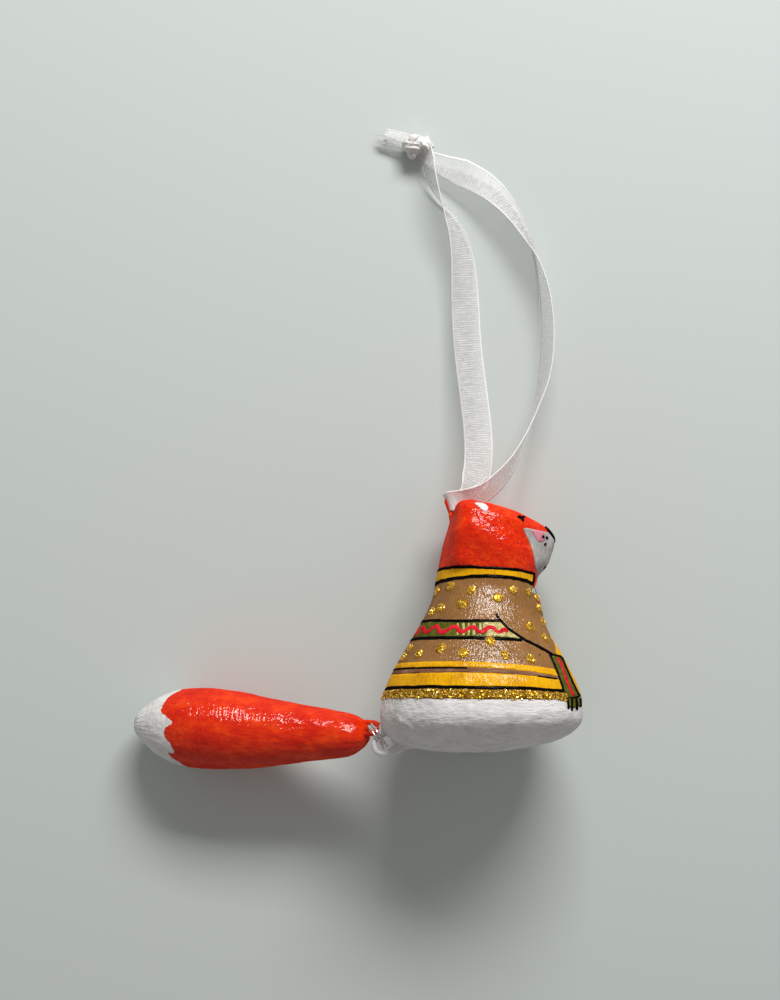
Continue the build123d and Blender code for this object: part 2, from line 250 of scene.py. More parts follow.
class Finish:
    """Material with constant values on its principled shader, and the nodes that feed it."""

    def __init__(self, name, **values):
        self.shader = bpy.data.materials.new(name)
        self.shader.use_nodes = True
        self.tree = self.shader.node_tree
        self.sockets = self.tree.nodes["Principled BSDF"].inputs
        for key, value in values.items():
            self.sockets[key.replace("_", " ").title().replace("Ior", "IOR")].default_value = value

    def feed(self, socket, value):
        """Give a node's value to the surface."""
        self.tree.links.new(value, self.sockets[socket])

    def node(self, kind, inputs=(), **settings):
        """Shader node with its sockets set or linked."""
        node = self.tree.nodes.new("ShaderNode" + kind)
        for key, value in settings.items():
            setattr(node, key, value)
        for socket, value in dict(inputs).items():
            if isinstance(value, bpy.types.NodeSocket):
                self.tree.links.new(value, node.inputs[socket])
            else:
                node.inputs[socket].default_value = value
        return node

    def carried(self, name, kind="Fac"):
        """Value that the mesh carries at its points."""
        return self.node("Attribute", attribute_name=name).outputs[kind]

    def noise_over(self, space, detail=3.0, roughness=0.55, distortion=0.0):
        """Noise between 0 and 1 over coordinates."""
        inputs = {"Vector": space, "Scale": 1.0, "Detail": detail, "Roughness": roughness,
                  "Distortion": distortion}
        return self.node("TexNoise", inputs).outputs["Fac"]

    def grains(self, sizes, *character):
        """Noise with grains of these sizes along the fox's front, side and height."""
        place = self.node("TexCoord").outputs["Object"]
        scale = [size * MM for size in sizes]
        space = self.node("Mapping", {"Vector": place, "Rotation": (FOX_TURN, 0, 0), "Scale": scale},
                          vector_type="TEXTURE")
        return self.noise_over(space.outputs["Vector"], *character)

    def ramp(self, value, *stops):
        """Colours at places between 0 and 1."""
        node = self.node("ValToRGB", {"Fac": value})
        elements = node.color_ramp.elements
        while len(elements) < len(stops):
            elements.new(0.5)
        for element, (place, colour) in zip(elements, stops):
            element.position = place
            element.color = (*colour, 1)
        return node.outputs["Color"]

    def fade(self, value, low, high, start=0.0, end=1.0):
        """Number from start to end as a value goes from low to high."""
        inputs = {"Value": value, "From Min": low, "From Max": high, "To Min": start, "To Max": end}
        return self.node("MapRange", inputs).outputs["Result"]

    def reckon(self, operation, first, second=0.0):
        """Sum, product or other operation on numbers."""
        return self.node("Math", {0: first, 1: second}, operation=operation).outputs["Value"]

    def relief(self, height, depth, layer="Normal"):
        """Bump of a depth in millimetres, in the paint or in its coat."""
        bump = self.node("Bump", {"Height": height, "Distance": depth * MM, "Strength": 1.0})
        self.feed(layer, bump.outputs["Normal"])


VARNISH = {"specular_ior_level": 0.0, "coat_ior": 2.5, "coat_roughness": 0.15}
VARNISH_DEPTH = 0.26
TINT_STOPS = (0.15, 0.5, 0.85)
paints = {}


def paint_finish(name, tints, strokes, depth, rough, coat=0.015, blotch=5.0, dabs=(1.3, 1.3, 1.0)):
    """Brushed paint under varnish: tints from dark to light, ridges along the strokes, gloss in dabs."""
    paint = Finish(name, coat_weight=coat, **VARNISH)
    ridges = paint.grains(strokes, 5.0, 0.62, 0.4)
    patches = paint.grains((blotch, blotch, blotch), 4.0, 0.6)
    shade = paint.reckon("ADD", *(paint.fade(part, 0.3, 0.7, 0, 0.5) for part in (ridges, patches)))
    paint.feed("Base Color", paint.ramp(shade, *zip(TINT_STOPS, tints)))
    grain = paint.grains((0.9, 0.9, 0.9))
    paint.feed("Roughness", paint.fade(grain, 0.3, 0.7, rough - 0.07, rough + 0.09))
    paint.relief(ridges, depth)
    paint.relief(paint.grains(dabs, 2.0, 0.5), VARNISH_DEPTH, "Coat Normal")
    paints[name] = paint.shader


paint_finish("fox_red", ((0.54, 0.008, 0.0002), (0.72, 0.023, 0.0003), (0.86, 0.07, 0.002)),
             (1.0, 1.0, 0.7), 0.2, 0.3, coat=0.13)
paint_finish("sweater_brown", ((0.21, 0.092, 0.024), (0.27, 0.122, 0.034), (0.32, 0.152, 0.046)),
             (0.42, 0.42, 5.0), 0.3, 0.3, coat=0.17, dabs=(0.5, 0.5, 4.0))
paint_finish("base_white", ((0.62, 0.59, 0.57), (0.74, 0.71, 0.69), (0.8, 0.78, 0.76)),
             (1.8, 1.8, 0.5), 0.24, 0.5)
# Muzzle white: thin off-white paint whose tints are lowered further as painted shade, because the muzzle turns
# down and away from the light
paint_finish("face_white_painted_shade", ((0.28, 0.265, 0.25), (0.38, 0.36, 0.345), (0.52, 0.495, 0.48)),
             (0.4, 0.4, 3.0), 0.08, 0.4)
paint_finish("line_black", ((0.001, 0.001, 0.0015), (0.002, 0.002, 0.003), (0.005, 0.005, 0.007)),
             (2.0, 2.0, 0.5), 0.06, 0.3, coat=0.02)
paint_finish("trim_yellow", ((0.55, 0.24, 0.0004), (0.74, 0.36, 0.0005), (0.84, 0.43, 0.0006)),
             (0.5, 0.5, 5.0), 0.2, 0.3, coat=0.1, dabs=(0.6, 0.6, 4.0))
paint_finish("band_green", ((0.05, 0.055, 0.004), (0.085, 0.085, 0.008), (0.17, 0.16, 0.025)),
             (0.45, 0.45, 3.0), 0.12, 0.3, coat=0.05, blotch=2.0)
paint_finish("band_cream", ((0.2, 0.18, 0.04), (0.5, 0.42, 0.15), (0.72, 0.62, 0.32)),
             (0.35, 0.35, 1.6), 0.12, 0.3, coat=0.05, blotch=1.0)
paint_finish("wave_red", ((0.4, 0.006, 0.012), (0.6, 0.012, 0.026), (0.72, 0.03, 0.05)),
             (1.2, 1.2, 0.5), 0.05, 0.3)
paint_finish("cheek_pink", ((0.5, 0.15, 0.19), (0.64, 0.25, 0.3), (0.72, 0.36, 0.4)),
             (0.5, 0.5, 1.0), 0.04, 0.36)
paint_finish("gap_plum", ((0.14, 0.056, 0.028), (0.21, 0.095, 0.055), (0.31, 0.16, 0.105)),
             (2.4, 2.4, 0.3), 0.05, 0.3)
paint_finish("hem_gold", ((0.1, 0.035, 0.002), (0.22, 0.1, 0.006), (0.4, 0.2, 0.012)),
             (0.5, 0.5, 0.5), 0.14, 0.34, blotch=1.0)
paints["ear_white"] = paints["base_white"]

TAIL_RED = ((0.54, 0.007, 0.0002), (0.67, 0.02, 0.0003), (0.8, 0.052, 0.0014))
TAIL_WHITE = ((0.6, 0.57, 0.55), (0.73, 0.7, 0.68), (0.8, 0.78, 0.76))


def tail_finish():
    """Red tail with a white tip, whose edge the skin carries as a distance."""
    paint = Finish("tail_paint", coat_weight=0.16, **VARNISH)
    tip = paint.carried("tip")
    ragged = paint.grains((0.7, 0.7, 0.7), 4.0, 0.7)
    edge = paint.reckon("ADD", tip, paint.fade(ragged, 0.2, 0.8, -0.45, 0.45))
    white = paint.fade(edge, -0.06, 0.06)
    strokes = paint.grains((0.75, 3.5, 3.5), 3.0, 0.55, 0.8)
    wrinkles = paint.grains((2.4, 0.8, 0.8), 4.0, 0.6, 0.6)
    patches = paint.grains((6, 4, 4), 5.0, 0.65)
    worn = paint.fade(wrinkles, 0.3, 0.7, 0, 0.3)
    shade = paint.reckon("ADD", worn, paint.fade(patches, 0.3, 0.7, 0, 0.7))
    red, pale = (paint.ramp(shade, *zip(TINT_STOPS, tints)) for tints in (TAIL_RED, TAIL_WHITE))
    mix = paint.node("Mix", {0: white, 6: red, 7: pale}, data_type="RGBA")
    paint.feed("Base Color", mix.outputs[2])
    paint.feed("Roughness", paint.fade(white, 0, 1, 0.3, 0.5))
    combed = paint.fade(tip, -30.0, -12.0)
    paint.relief(paint.reckon("ADD", paint.reckon("MULTIPLY", strokes, combed), wrinkles), 0.2)
    dabs = paint.grains((1.6, 1.0, 1.0), 2.0, 0.5)
    combs = paint.grains((0.6, 3.0, 3.0), 1.0, 0.5)
    gloss = paint.reckon("ADD", paint.reckon("MULTIPLY", combs, combed), dabs)
    paint.relief(gloss, VARNISH_DEPTH, "Coat Normal")
    return paint.shader


RUNG_STEP = 0.62


def organza_finish(name, thin, thick):
    """Sheer cloth: see-through between uneven cross threads, closed at its edges."""
    cloth = Finish(name, roughness=0.5, sheen_weight=0.25, sheen_roughness=0.4)
    weave = cloth.carried("weave", "Vector")
    parts = cloth.node("SeparateXYZ", {"Vector": weave}).outputs
    spread = cloth.node("VectorMath", {0: weave, 1: (0.35, 2.3, 0.0)}, operation="MULTIPLY")
    ladder = cloth.noise_over(spread.outputs["Vector"], 3.0, 0.65, 0.3)
    fine = cloth.node("VectorMath", {0: weave, 1: (3.6, 0.5, 0.0)}, operation="MULTIPLY")
    warp = cloth.noise_over(fine.outputs["Vector"], 2.0, 0.6)
    bars = cloth.reckon("SINE", cloth.reckon("MULTIPLY", parts["Y"], 2 * math.pi / RUNG_STEP))
    whole_rungs = cloth.fade(bars, 0.0, 0.9, 0, 0.6)
    rungs = cloth.reckon("MULTIPLY", whole_rungs, cloth.fade(ladder, 0.36, 0.6, 0.15, 1))
    loose = cloth.reckon("ADD", cloth.fade(ladder, 0.32, 0.68, 0, 0.3), cloth.fade(warp, 0.3, 0.7, 0, 0.25))
    threads = cloth.reckon("ADD", rungs, loose)
    edge = cloth.fade(cloth.reckon("ABSOLUTE", parts["Z"]), 0.86, 0.93)
    cover = cloth.fade(threads, 0, 1, thin, thick)
    cloth.feed("Alpha", cloth.reckon("MAXIMUM", cover, cloth.reckon("MULTIPLY", edge, 0.92)))
    closed = cloth.reckon("MAXIMUM", threads, edge)
    cloth.feed("Base Color", cloth.ramp(closed, (0.0, (0.72, 0.7, 0.69)), (0.9, (0.9, 0.88, 0.87))))
    cloth.relief(threads, 0.05)
    return cloth.shader


def grainy_finish(name, sizes, character, stops, depth, spread=0.0, **values):
    """Finish with one kind of grain in its tint, its relief and, where it has a spread, its gloss."""
    matter = Finish(name, **values)
    grain = matter.grains(sizes, *character)
    matter.feed("Base Color", matter.ramp(grain, *stops))
    if spread:
        rough = values["roughness"]
        matter.feed("Roughness", matter.fade(grain, 0.3, 0.7, rough, rough + spread))
    matter.relief(grain, depth)
    return matter.shader


def glitter_finish():
    """Gold flakes, each with its own tint."""
    foil = Finish("gold_glitter", metallic=0.7, roughness=0.28)
    tint = foil.carried("tint")
    specks = foil.grains((0.3, 0.3, 0.3), 2.0)
    value = foil.reckon("ADD", tint, foil.fade(specks, 0.3, 0.7, -0.08, 0.08))
    colour = foil.ramp(value, (0.0, (0.24, 0.085, 0.004)), (0.4, (0.68, 0.36, 0.016)),
                       (0.75, (0.95, 0.62, 0.05)), (1.0, (1.0, 0.88, 0.34)))
    foil.feed("Base Color", colour)
    return foil.shader


# Organza on the legs and in the fold, bunched cloth of the knot, bright wire with scratches, and bare pulp
BUNCHED_TINTS = ((0.3, (0.6, 0.57, 0.54)), (0.55, (0.7, 0.675, 0.65)), (0.75, (0.76, 0.74, 0.72)))
NICKEL_TINTS = ((0.28, (0.429, 0.4235, 0.4125)), (0.5, (0.78, 0.77, 0.75)))
PULP_TINTS = ((0.3, (0.3, 0.28, 0.24)), (0.7, (0.5, 0.47, 0.42)))
tail_paint = tail_finish()
organza = organza_finish("organza", 0.12, 0.55)
folded = organza_finish("folded_organza", 0.5, 0.85)
bunched = grainy_finish("bunched_organza", (0.35, 0.35, 1.2), (4.0, 0.6), BUNCHED_TINTS, 0.06,
                        roughness=0.55, sheen_weight=0.3, sheen_roughness=0.4)
glitter = glitter_finish()
nickel = grainy_finish("nickel", (0.12, 0.12, 0.12), (4.0, 0.7), NICKEL_TINTS, 0.01, 0.15,
                       metallic=1.0, roughness=0.15)
pulp = grainy_finish("bare_pulp", (0.5, 0.5, 1.4), (5.0, 0.7), PULP_TINTS, 0.15, roughness=0.9)


# Skins of the body and the tail


def even_radii(radii):
    """Radii with the pin holes of the wires closed and the facets smoothed."""
    rows = len(radii)
    padded = np.pad(radii, ((BLEMISH_ROWS, BLEMISH_ROWS), (0, 0)), mode="edge")
    shifts = range(0, 2 * BLEMISH_ROWS + 1, 2)
    near = [np.roll(padded[down:down + rows], across - BLEMISH_ROWS, 1)
            for down in shifts for across in shifts]
    middle = np.median(near, axis=0)
    radii = np.where(middle - radii > BLEMISH * MM, middle, radii)
    for _ in range(EVENING_ROUNDS):
        padded = np.pad(radii, ((1, 1), (0, 0)), mode="edge")
        sides = np.roll(radii, 1, 1) + np.roll(radii, -1, 1)
        radii = (padded[:-2] + padded[2:] + sides + 4 * radii) / 8
    return radii


def wrapped_skin(tree, rows, columns, texture):
    """Points row by row, where rays at each row's middle meet the solid, raised by a texture."""
    ways = []
    radii = []
    for middle, rise, ahead, aside, up in rows:
        row = [wheel(wheel(ahead, aside, turn), up, rise) for turn in even_turns(columns)]
        hits = [tree.ray_cast(middle + way * RAY_REACH * MM, -way)[0] for way in row]
        radii.append([(hit - middle).dot(way) if hit else 0.0 for hit, way in zip(hits, row)])
        ways.append(row)
    points = []
    for (middle, *_), row, reaches in zip(rows, ways, even_radii(np.array(radii))):
        for way, reach in zip(row, reaches):
            place = middle + way * float(reach)
            points.append(place + way * texture(place) * MM)
    return points


def capped(points, columns):
    """Points with one more in the middle of the first and the last row."""
    return points + [sum(end, Vector()) / columns for end in (points[:columns], points[-columns:])]


def spine(height):
    """Distance forward of the middle of the fox at a height."""
    return HEAD_FORWARD * ease((height - NECK_START) / (HEAD_MIDDLE - NECK_START))


def body_rows():
    """Rows of rays round the fox, from under its base to the top of its head."""
    rows = []
    for step in range(BASE_ROWS):
        rise = -math.radians(LAST_RISE * (1 - step / BASE_ROWS))
        rows.append((fox_point(0, 0, BASE_MIDDLE), rise, FRONT, SIDE, UP))
    for step in range(FLANK_ROWS):
        height = BASE_MIDDLE + (HEAD_MIDDLE - BASE_MIDDLE) * step / FLANK_ROWS
        rows.append((fox_point(spine(height), 0, height), 0.0, FRONT, SIDE, UP))
    for step in range(CROWN_ROWS + 1):
        rise = math.radians(LAST_RISE * step / CROWN_ROWS)
        pitch = math.radians(FACE_PITCH) * math.sin(rise)
        ahead, up = wheel(FRONT, -UP, pitch), wheel(UP, FRONT, pitch)
        rows.append((fox_point(spine(HEAD_MIDDLE), 0, HEAD_MIDDLE), rise, ahead, SIDE, up))
    return rows


# Ridges and hollows of the body: points forward, to either side and over the base
BROW = [(-2.6, 12.8, 54.2), (-0.1, 13.5, 52.8), (2.1, 13.6, 51.6), (4.3, 13.2, 50.7), (6.5, 12.6, 50.0)]
NAPE = [(-5.2, 10.4, 47.5), (-5.2, 10.6, 52.0), (-5.0, 10.6, 56.0), (-4.2, 10.4, 59.4)]
CREASE = [(-20.6, 13.0, 6.7), (-18.5, 14.1, 5.9), (-17.6, 14.5, 4.7), (-16.7, 14.6, 5.2), (-15.7, 14.8, 4.7),
          (-14.4, 14.6, 3.6), (-13.1, 14.2, 2.3)]
HOLLOW = Vector((-22.0, 10.5, 4.4))
CHIN_HEIGHT = 47.4

# Lumps of the pulp and of the thick white ground: depth, then sizes
PULP_LUMPS = ((0.2, 9.0), (0.07, 3.2))
GROUND_LUMPS = ((0.1, 2.6, 2.6, 0.9), (0.09, 1.2))
HEAD_LUMPS = ((0.07, 1.5),)


def ridge(point, line, rise, spread, under=None):
    """Height of a soft ridge along a line, which may spread more under it than over it."""
    gaps = []
    for start, end in zip(line, line[1:]):
        start, way = Vector(start), Vector(end) - Vector(start)
        share = min(1.0, max(0.0, (point - start).dot(way) / way.length_squared))
        gap = point - start - way * share
        gaps.append((gap.length, gap.z))
    gap, over = min(gaps)
    return rise * math.exp(-(gap / (spread if over > 0 else under or spread)) ** 2)


def head_form(point):
    """Ridge from each ear along the cheek, the square back of the head, and the fuller chin."""
    forward, aside, height = point
    chin = math.exp(-((height - CHIN_HEIGHT) / 2.6) ** 2 - (aside / 5.0) ** 2) if forward > 5 else 0.0
    return ridge(point, BROW, 1.25, 3.1, 4.8) + ridge(point, NAPE, 1.4, 3.4) + 0.7 * chin


def base_form(point):
    """Hollow over the tail's eye, with a crease along its edge."""
    return ridge(point, CREASE, 0.4, 0.7) - 0.55 * math.exp(-((point - HOLLOW).length / 3.6) ** 2)


def body_texture(place):
    """Hand-formed pulp: broad dents, small lumps, and creases in the thick white ground of the base."""
    point = along_fox(place)
    point.y = abs(point.y)
    raised = lumps(place, PULP_LUMPS)
    if point.z < WHITE_UNDER + 1.0:
        creases = lumps(place, GROUND_LUMPS) - 0.14 * abs(bumps(place, 5.0, 5.0, 1.8))
        raised += (creases + base_form(point)) * (1 - ease(point.z - WHITE_UNDER))
    if point.z > RED_OVER:
        raised += (lumps(place, HEAD_LUMPS) + head_form(point)) * ease((point.z - RED_OVER) / 2.0)
    return raised


def make_body():
    """Body and head in one skin, with a zone of paint for the head, the sweater and the base."""
    rows = body_rows()
    shells = Skin(FOX.z, NODES["body_shell_left"], NODES["body_shell_right"])
    points = capped(wrapped_skin(shells.tree, rows, BODY_COLUMNS, body_texture), BODY_COLUMNS)
    zones = [paints[name] for name in ("sweater_brown", "fox_red", "base_white")]
    skin = add_piece("body_skin", points, closed_faces(len(rows), BODY_COLUMNS), *zones)
    for polygon in skin.data.polygons:
        height = along_fox(polygon.center).z
        polygon.material_index = 1 if height > RED_OVER else 2 if height < WHITE_UNDER else 0
    return dress(skin, "fox", "painted_body", "body_shell_left", "body_shell_right")


body = Skin(FOX.z, make_body())


def around_place(place):
    """Arc and height of a place on the body."""
    forward, aside, height = along_fox(place)
    return math.degrees(math.atan2(aside, forward - spine(height))) * DEGREE, height


def other_side(place):
    """Place and outward normal on the other side of the body."""
    return body.nearest(place - 2 * (place - FOX).dot(SIDE) * SIDE)


# Coats of paint on the body

coats = {}


def smooth(points, step, closed=False):
    """Even points on a smooth line through points."""
    points = [Vector(point) for point in points]
    count = len(points)
    line = []
    for at in range(count if closed else count - 1):
        near = [at + shift for shift in (-1, 0, 1, 2)]
        near = [place % count if closed else min(max(place, 0), count - 1) for place in near]
        before, start, end, after = (points[place] for place in near)
        pieces = max(1, round((end - start).length / step))
        for share in (piece / pieces for piece in range(pieces)):
            line.append(0.5 * (2 * start + (end - before) * share
                               + (2 * before - 5 * start + 4 * end - after) * share**2
                               + (3 * start - before - 3 * end + after) * share**3))
    return line if closed else line + [points[-1]]


def unsteady(points, reach, size, salt=0.0):
    """Outline drawn by hand, a little off its line."""
    return [point + Vector([waver(*point / size, salt + more) for more in (0, 9)]) * reach
            for point in (Vector(each[:2]) for each in points)]


def line_reach(line):
    """Distance along a line at each of its points."""
    reach = [0.0]
    for here, after in zip(line, line[1:]):
        reach.append(reach[-1] + (after - here).length)
    return reach


def brush_line(points, width, step):
    """Outline of a brush line through points, round at its ends and uneven in its width."""
    line = smooth(points, step)
    reach = line_reach(line)
    left = []
    right = []
    for at, point in enumerate(line):
        way = (line[min(at + 1, len(line) - 1)] - line[max(at - 1, 0)]).normalized()
        end = min(1.0, (min(reach[at], reach[-1] - reach[at]) + 0.12 * width) / (0.6 * width))
        unevenness = 1 + 0.22 * waver(point.x / width / 2, point.y / width / 2, width)
        half = Vector((-way.y, way.x)) * (width / 2 * unevenness * math.sqrt(end * (2 - end)))
        left.append(point + half)
        right.append(point - half)
    return left + right[::-1]


def edge_distance(points, loop):
    """Distance of each point from a closed outline, and whether it lies inside."""
    ends = np.roll(loop, -1, 0)
    way = (ends - loop)[None]
    offset = points[:, None] - loop[None]
    along = np.clip((offset * way).sum(2) / np.maximum((way**2).sum(2), 1e-12), 0, 1)
    distance = np.linalg.norm(offset - along[..., None] * way, axis=2).min(1)
    level = points[:, None, 1]
    crosses = (loop[None, :, 1] > level) != (ends[None, :, 1] > level)
    rise = np.where(way[..., 1] == 0, 1e-12, way[..., 1])
    meets = loop[None, :, 0] + (level - loop[None, :, 1]) * way[..., 0] / rise
    inside = crosses & (points[:, None, 0] < meets)
    return distance, inside.sum(1) % 2 == 1


def paint(coat, outline, chart, lift, step, mirrored=False):
    """Thin closed layer of paint inside an outline on a chart of the body, and its mirror image."""
    loop = np.array([tuple(point)[:2] for point in outline])
    low, high = loop.min(0), loop.max(0)
    columns, rows = ((high - low) / step).astype(int) + 1
    lattice = np.array([(low[0] + (column + row % 2 / 2) * step, low[1] + row * step)
                        for row in range(rows) for column in range(columns)])
    distance, inside = edge_distance(lattice, loop)
    inner = lattice[inside & (distance > 0.5 * step)]
    ring = [(at, (at + 1) % len(loop)) for at in range(len(loop))]
    flat, _, triangles, *_ = delaunay_2d_cdt([Vector(point) for point in (*loop, *inner)], ring, [], 1, 1e-5)
    depth, _ = edge_distance(np.array([tuple(point) for point in flat]), loop)
    edges = dict.fromkeys(pair for face in triangles for pair in zip(face, (*face[1:], face[0])))
    rim = [pair for pair in edges if pair[::-1] not in edges]
    sides = [[chart(*point) for point in flat]]
    if mirrored:
        sides.append([other_side(place) for place, _ in sides[0]])
    points, faces = coats.setdefault(coat, ([], []))
    for spots in sides:
        start = len(points)
        for (place, normal), deep in zip(spots, depth):
            swell = 0.75 + 0.25 * ease(deep / step)
            points += [place + normal * lift * swell * MM, place - normal * SUNK * MM]
        for triangle in triangles:
            faces.append([start + 2 * at for at in triangle])
            faces.append([start + 2 * at + 1 for at in reversed(triangle)])
        for first, second in ((start + 2 * first, start + 2 * second) for first, second in rim):
            faces.append([second, first, first + 1, second + 1])


def paint_seen(coat, outline, lift, mirrored=True, closed=True, unsteadiness=0.35):
    """Paint with its outline in pixels of the photograph, on both sides of the fox."""
    line = smooth(outline, 1.0, closed=True) if closed else outline
    paint(coat, unsteady(line, unsteadiness, 4.0), body.seen, lift, PIXEL_STEP, mirrored)


def stroke_seen(pixels, width, lift=THICK_COAT, step=0.8, coat="line_black", mirrored=True):
    """Brush line through pixels of the photograph, black as a rule."""
    paint_seen(coat, brush_line(pixels, width, step), lift, mirrored, closed=False)


def paint_around(coat, outline, lift):
    """Paint with its outline in arcs from the front and heights over the base."""
    paint(coat, outline, body.around, lift, ARC_STEP)


def line_around(places, width, step=0.4, lift=THICK_COAT):
    """Black brush line through arcs and heights."""
    paint_around("line_black", brush_line(places, width, step), lift)


def turned(points):
    """Points in degrees and heights as arcs and heights."""
    return [(degrees * DEGREE, height) for degrees, height in points]


def whole(points):
    """Smooth line from the front over the back to the front again, from points of the right side."""
    left = [(360 - degrees, height) for degrees, height in reversed(points) if degrees < 180]
    return smooth(turned(points + left), 0.5)


def band(coat, top, bottom, lift=COAT, unsteadiness=0.12):
    """Painted band round the body, open at the front, between heights at angles of its right side."""
    lower = unsteady(whole(bottom), unsteadiness, 2.2, 5.0)
    paint_around(coat, unsteady(whole(top), unsteadiness, 2.2) + lower[::-1], lift)


def ring_line(heights, width):
    """Black line round the body, open at the front."""
    line_around(unsteady(whole(heights), 0.14, 2.6, width), width, 0.5)


# Collar, with its black edges
COLLAR_TOP = [(27, 43.8), (60, 44.1), (95, 44.35), (135, 44.95), (180, 45.4)]
COLLAR_LOW = [(28, 41.3), (60, 41.9), (95, 42.3), (135, 42.2), (180, 42.0)]
band("trim_yellow", COLLAR_TOP, COLLAR_LOW)
ring_line(COLLAR_TOP, 0.72)
ring_line(COLLAR_LOW, 0.85)

# Green band with its wave, which ends at the arm
GREEN_TOP = [(74, 30.8), (112, 30.9), (150, 31.8), (180, 32.3)]
GREEN_LOW = [(60, 26.1), (109, 26.5), (150, 27.3), (180, 27.8)]
band("band_green", GREEN_TOP, GREEN_LOW)
ring_line(GREEN_TOP, 0.7)
ring_line(GREEN_LOW, 0.75)

# Worn part of the band, the cream streaks left of it that stand in for the gloss on the brush ridges as painted
# highlight, and the wave along it in pixels of the photograph, with its run over the back
WORN = [(484, 622.8), (492, 622.4), (501, 622.8), (508, 629.6), (515, 635), (520, 638.4), (505, 636.9),
        (492, 636.2), (485, 636), (487, 632), (483, 628)]
WAVE = [(508, 631.4), (504.1, 630), (498.8, 632.2), (491.1, 627.5), (480, 632), (473.1, 627.4),
        (461.5, 631.8), (455.1, 626.9), (442.4, 632.2), (435.6, 626.9), (427, 632), (422.6, 628)]
WAVE_BACK = [(50.5, 30.2), (52.6, 28.8), (54.6, 30.7), (56.4, 29.2)]
WAVE_STEPS = 6
HIGHLIGHT_STREAKS = [(457.6, 2.0), (463.4, 2.6), (468.6, 2.2), (473.8, 3.2), (480, 2.6)]
paint_seen("band_cream", WORN, SECOND_COAT, unsteadiness=0.8)
# Painted highlight: cream streaks where the varnish glints along the vertical brush ridges
for across, width in HIGHLIGHT_STREAKS:
    highlight_streak = [(across, 623.2), (across + 0.4, 629), (across - 0.2, 635.6)]
    stroke_seen(highlight_streak, width, SECOND_COAT, coat="band_cream")


def wave_line():
    """Wave round the body, from the turns of its right side."""
    turns = [around_place(body.seen(*pixel)[0]) for pixel in WAVE] + WAVE_BACK
    half = []
    for start, end in zip(turns, turns[1:]):
        for share in (step / WAVE_STEPS for step in range(WAVE_STEPS)):
            half.append((start[0] + (end[0] - start[0]) * share,
                         start[1] + (end[1] - start[1]) * ease(ease(share))))
    return half + [(360 * DEGREE - arc, height) for arc, height in reversed(half)]


paint_around("wave_red", brush_line(wave_line(), 1.05, 0.25), THICK_COAT)

# Yellow bands over the hem, with the gap between them and its dark lines
THIN_TOP = [(38, 19.2), (95, 20.3), (140, 21.0), (180, 21.6)]
THIN_LOW = [(38, 17.4), (60, 18.1), (95, 18.9), (140, 19.6), (180, 20.3)]
THICK_TOP = [(37, 16.7), (95, 17.65), (140, 18.15), (180, 18.75)]
THICK_LOW = [(36, 13.9), (95, 14.1), (140, 14.8), (180, 15.4)]
GAP_LINES = [[(102, 18.85), (125, 19.2), (150, 19.7), (178, 20.2)], [(40, 16.8), (48, 16.9), (56, 17.1)]]
band("trim_yellow", THIN_TOP, THIN_LOW)
band("gap_plum", THIN_LOW, THICK_TOP, THIN_COAT)
band("trim_yellow", THICK_TOP, THICK_LOW)
ring_line(THICK_LOW, 0.75)
for line in GAP_LINES:
    line_around(unsteady(turned(line), 0.1, 2.0), 0.4)

# Ground of the glitter hem
HEM_TOP = [(35, 13.4), (95, 13.5), (140, 14.2), (180, 14.8)]
HEM_LOW = [(35, 11.6), (95, 11.3), (140, 12.1), (180, 12.9)]
band("hem_gold", HEM_TOP, HEM_LOW, SECOND_COAT, 0.3)

# Arm, scarf end and its fringe, on both sides, in pixels of the photograph
ARM = [(496, 614), (500.5, 620.5), (508, 628.5), (517, 635), (526, 640.5), (538, 646.5), (551.8, 654.2)]
SCARF = [(549.5, 654.3), (556, 655.4), (561.4, 657), (566.8, 669), (572.3, 681.8), (579.5, 696.4),
         (572.3, 698), (566, 697.3), (562.3, 687.3), (556, 669)]
SCARF_WAVE = [(557.8, 658), (560.5, 663.6), (563, 670), (565, 677.3), (568, 683.6), (570.3, 689),
              (573.2, 696.4)]
FRINGE = [(567.2, 568.4, 709), (569.3, 570, 707), (571.3, 571.8, 711), (573.6, 574.2, 708),
          (576, 576.8, 710), (578, 578.7, 706.5), (580, 580.4, 707)]
FRINGE_TOP = 698
FRINGE_MIDDLE = 703
stroke_seen(ARM, 2.4)
paint_seen("band_green", SCARF, COAT)
for edge in (SCARF[2:6], SCARF[5:8], SCARF[7:] + SCARF[:1], SCARF[:3]):
    stroke_seen(edge, 2.0)
stroke_seen(SCARF_WAVE, 2.3, RAISED_COAT, coat="wave_red")
for at, (top, foot, end) in enumerate(FRINGE):
    strand = [(top, FRINGE_TOP), ((top + foot) / 2 + 0.3, FRINGE_MIDDLE), (foot, end)]
    stroke_seen(strand, 2.2, coat="band_green" if at % 2 else "line_black")

# Face and the end of the collar, in pixels of the photograph, the nose and the mouth in millimetres
COLLAR_END = [(533.6, 574.4), (533.8, 578), (532.5, 584)]
NECKLINE = [(533.6, 572.5), (533.4, 584.5), (535.8, 592.5), (537.8, 600), (539.3, 607.5)]
MUZZLE = [(549.4, 533), (544, 531.6), (538.7, 530.4), (532.5, 529.2), (526, 528), (523.5, 529.3),
          (525.3, 533.7), (528, 539), (531, 546.7), (533.5, 555), (534.7, 563.5), (535.7, 569),
          (536.6, 575), (536.4, 582), (537.5, 590), (539, 598)]
NOSE_PLACE = (18.3, 0, 55.2)
NOSE_FACING = math.radians(30.0)
NOSE_COAT = 0.4
NOSE = [(0.0, 2.0), (2.0, 2.1), (3.6, 1.5), (3.7, 0.0), (2.0, -1.7), (0.0, -2.4), (-2.0, -1.7), (-3.7, 0.0),
        (-3.6, 1.5), (-2.0, 2.1)]
MOUTH = [(3.2, 46.4), (1.8, 46.1), (0.0, 46.5), (-1.8, 46.1), (-3.2, 46.4)]
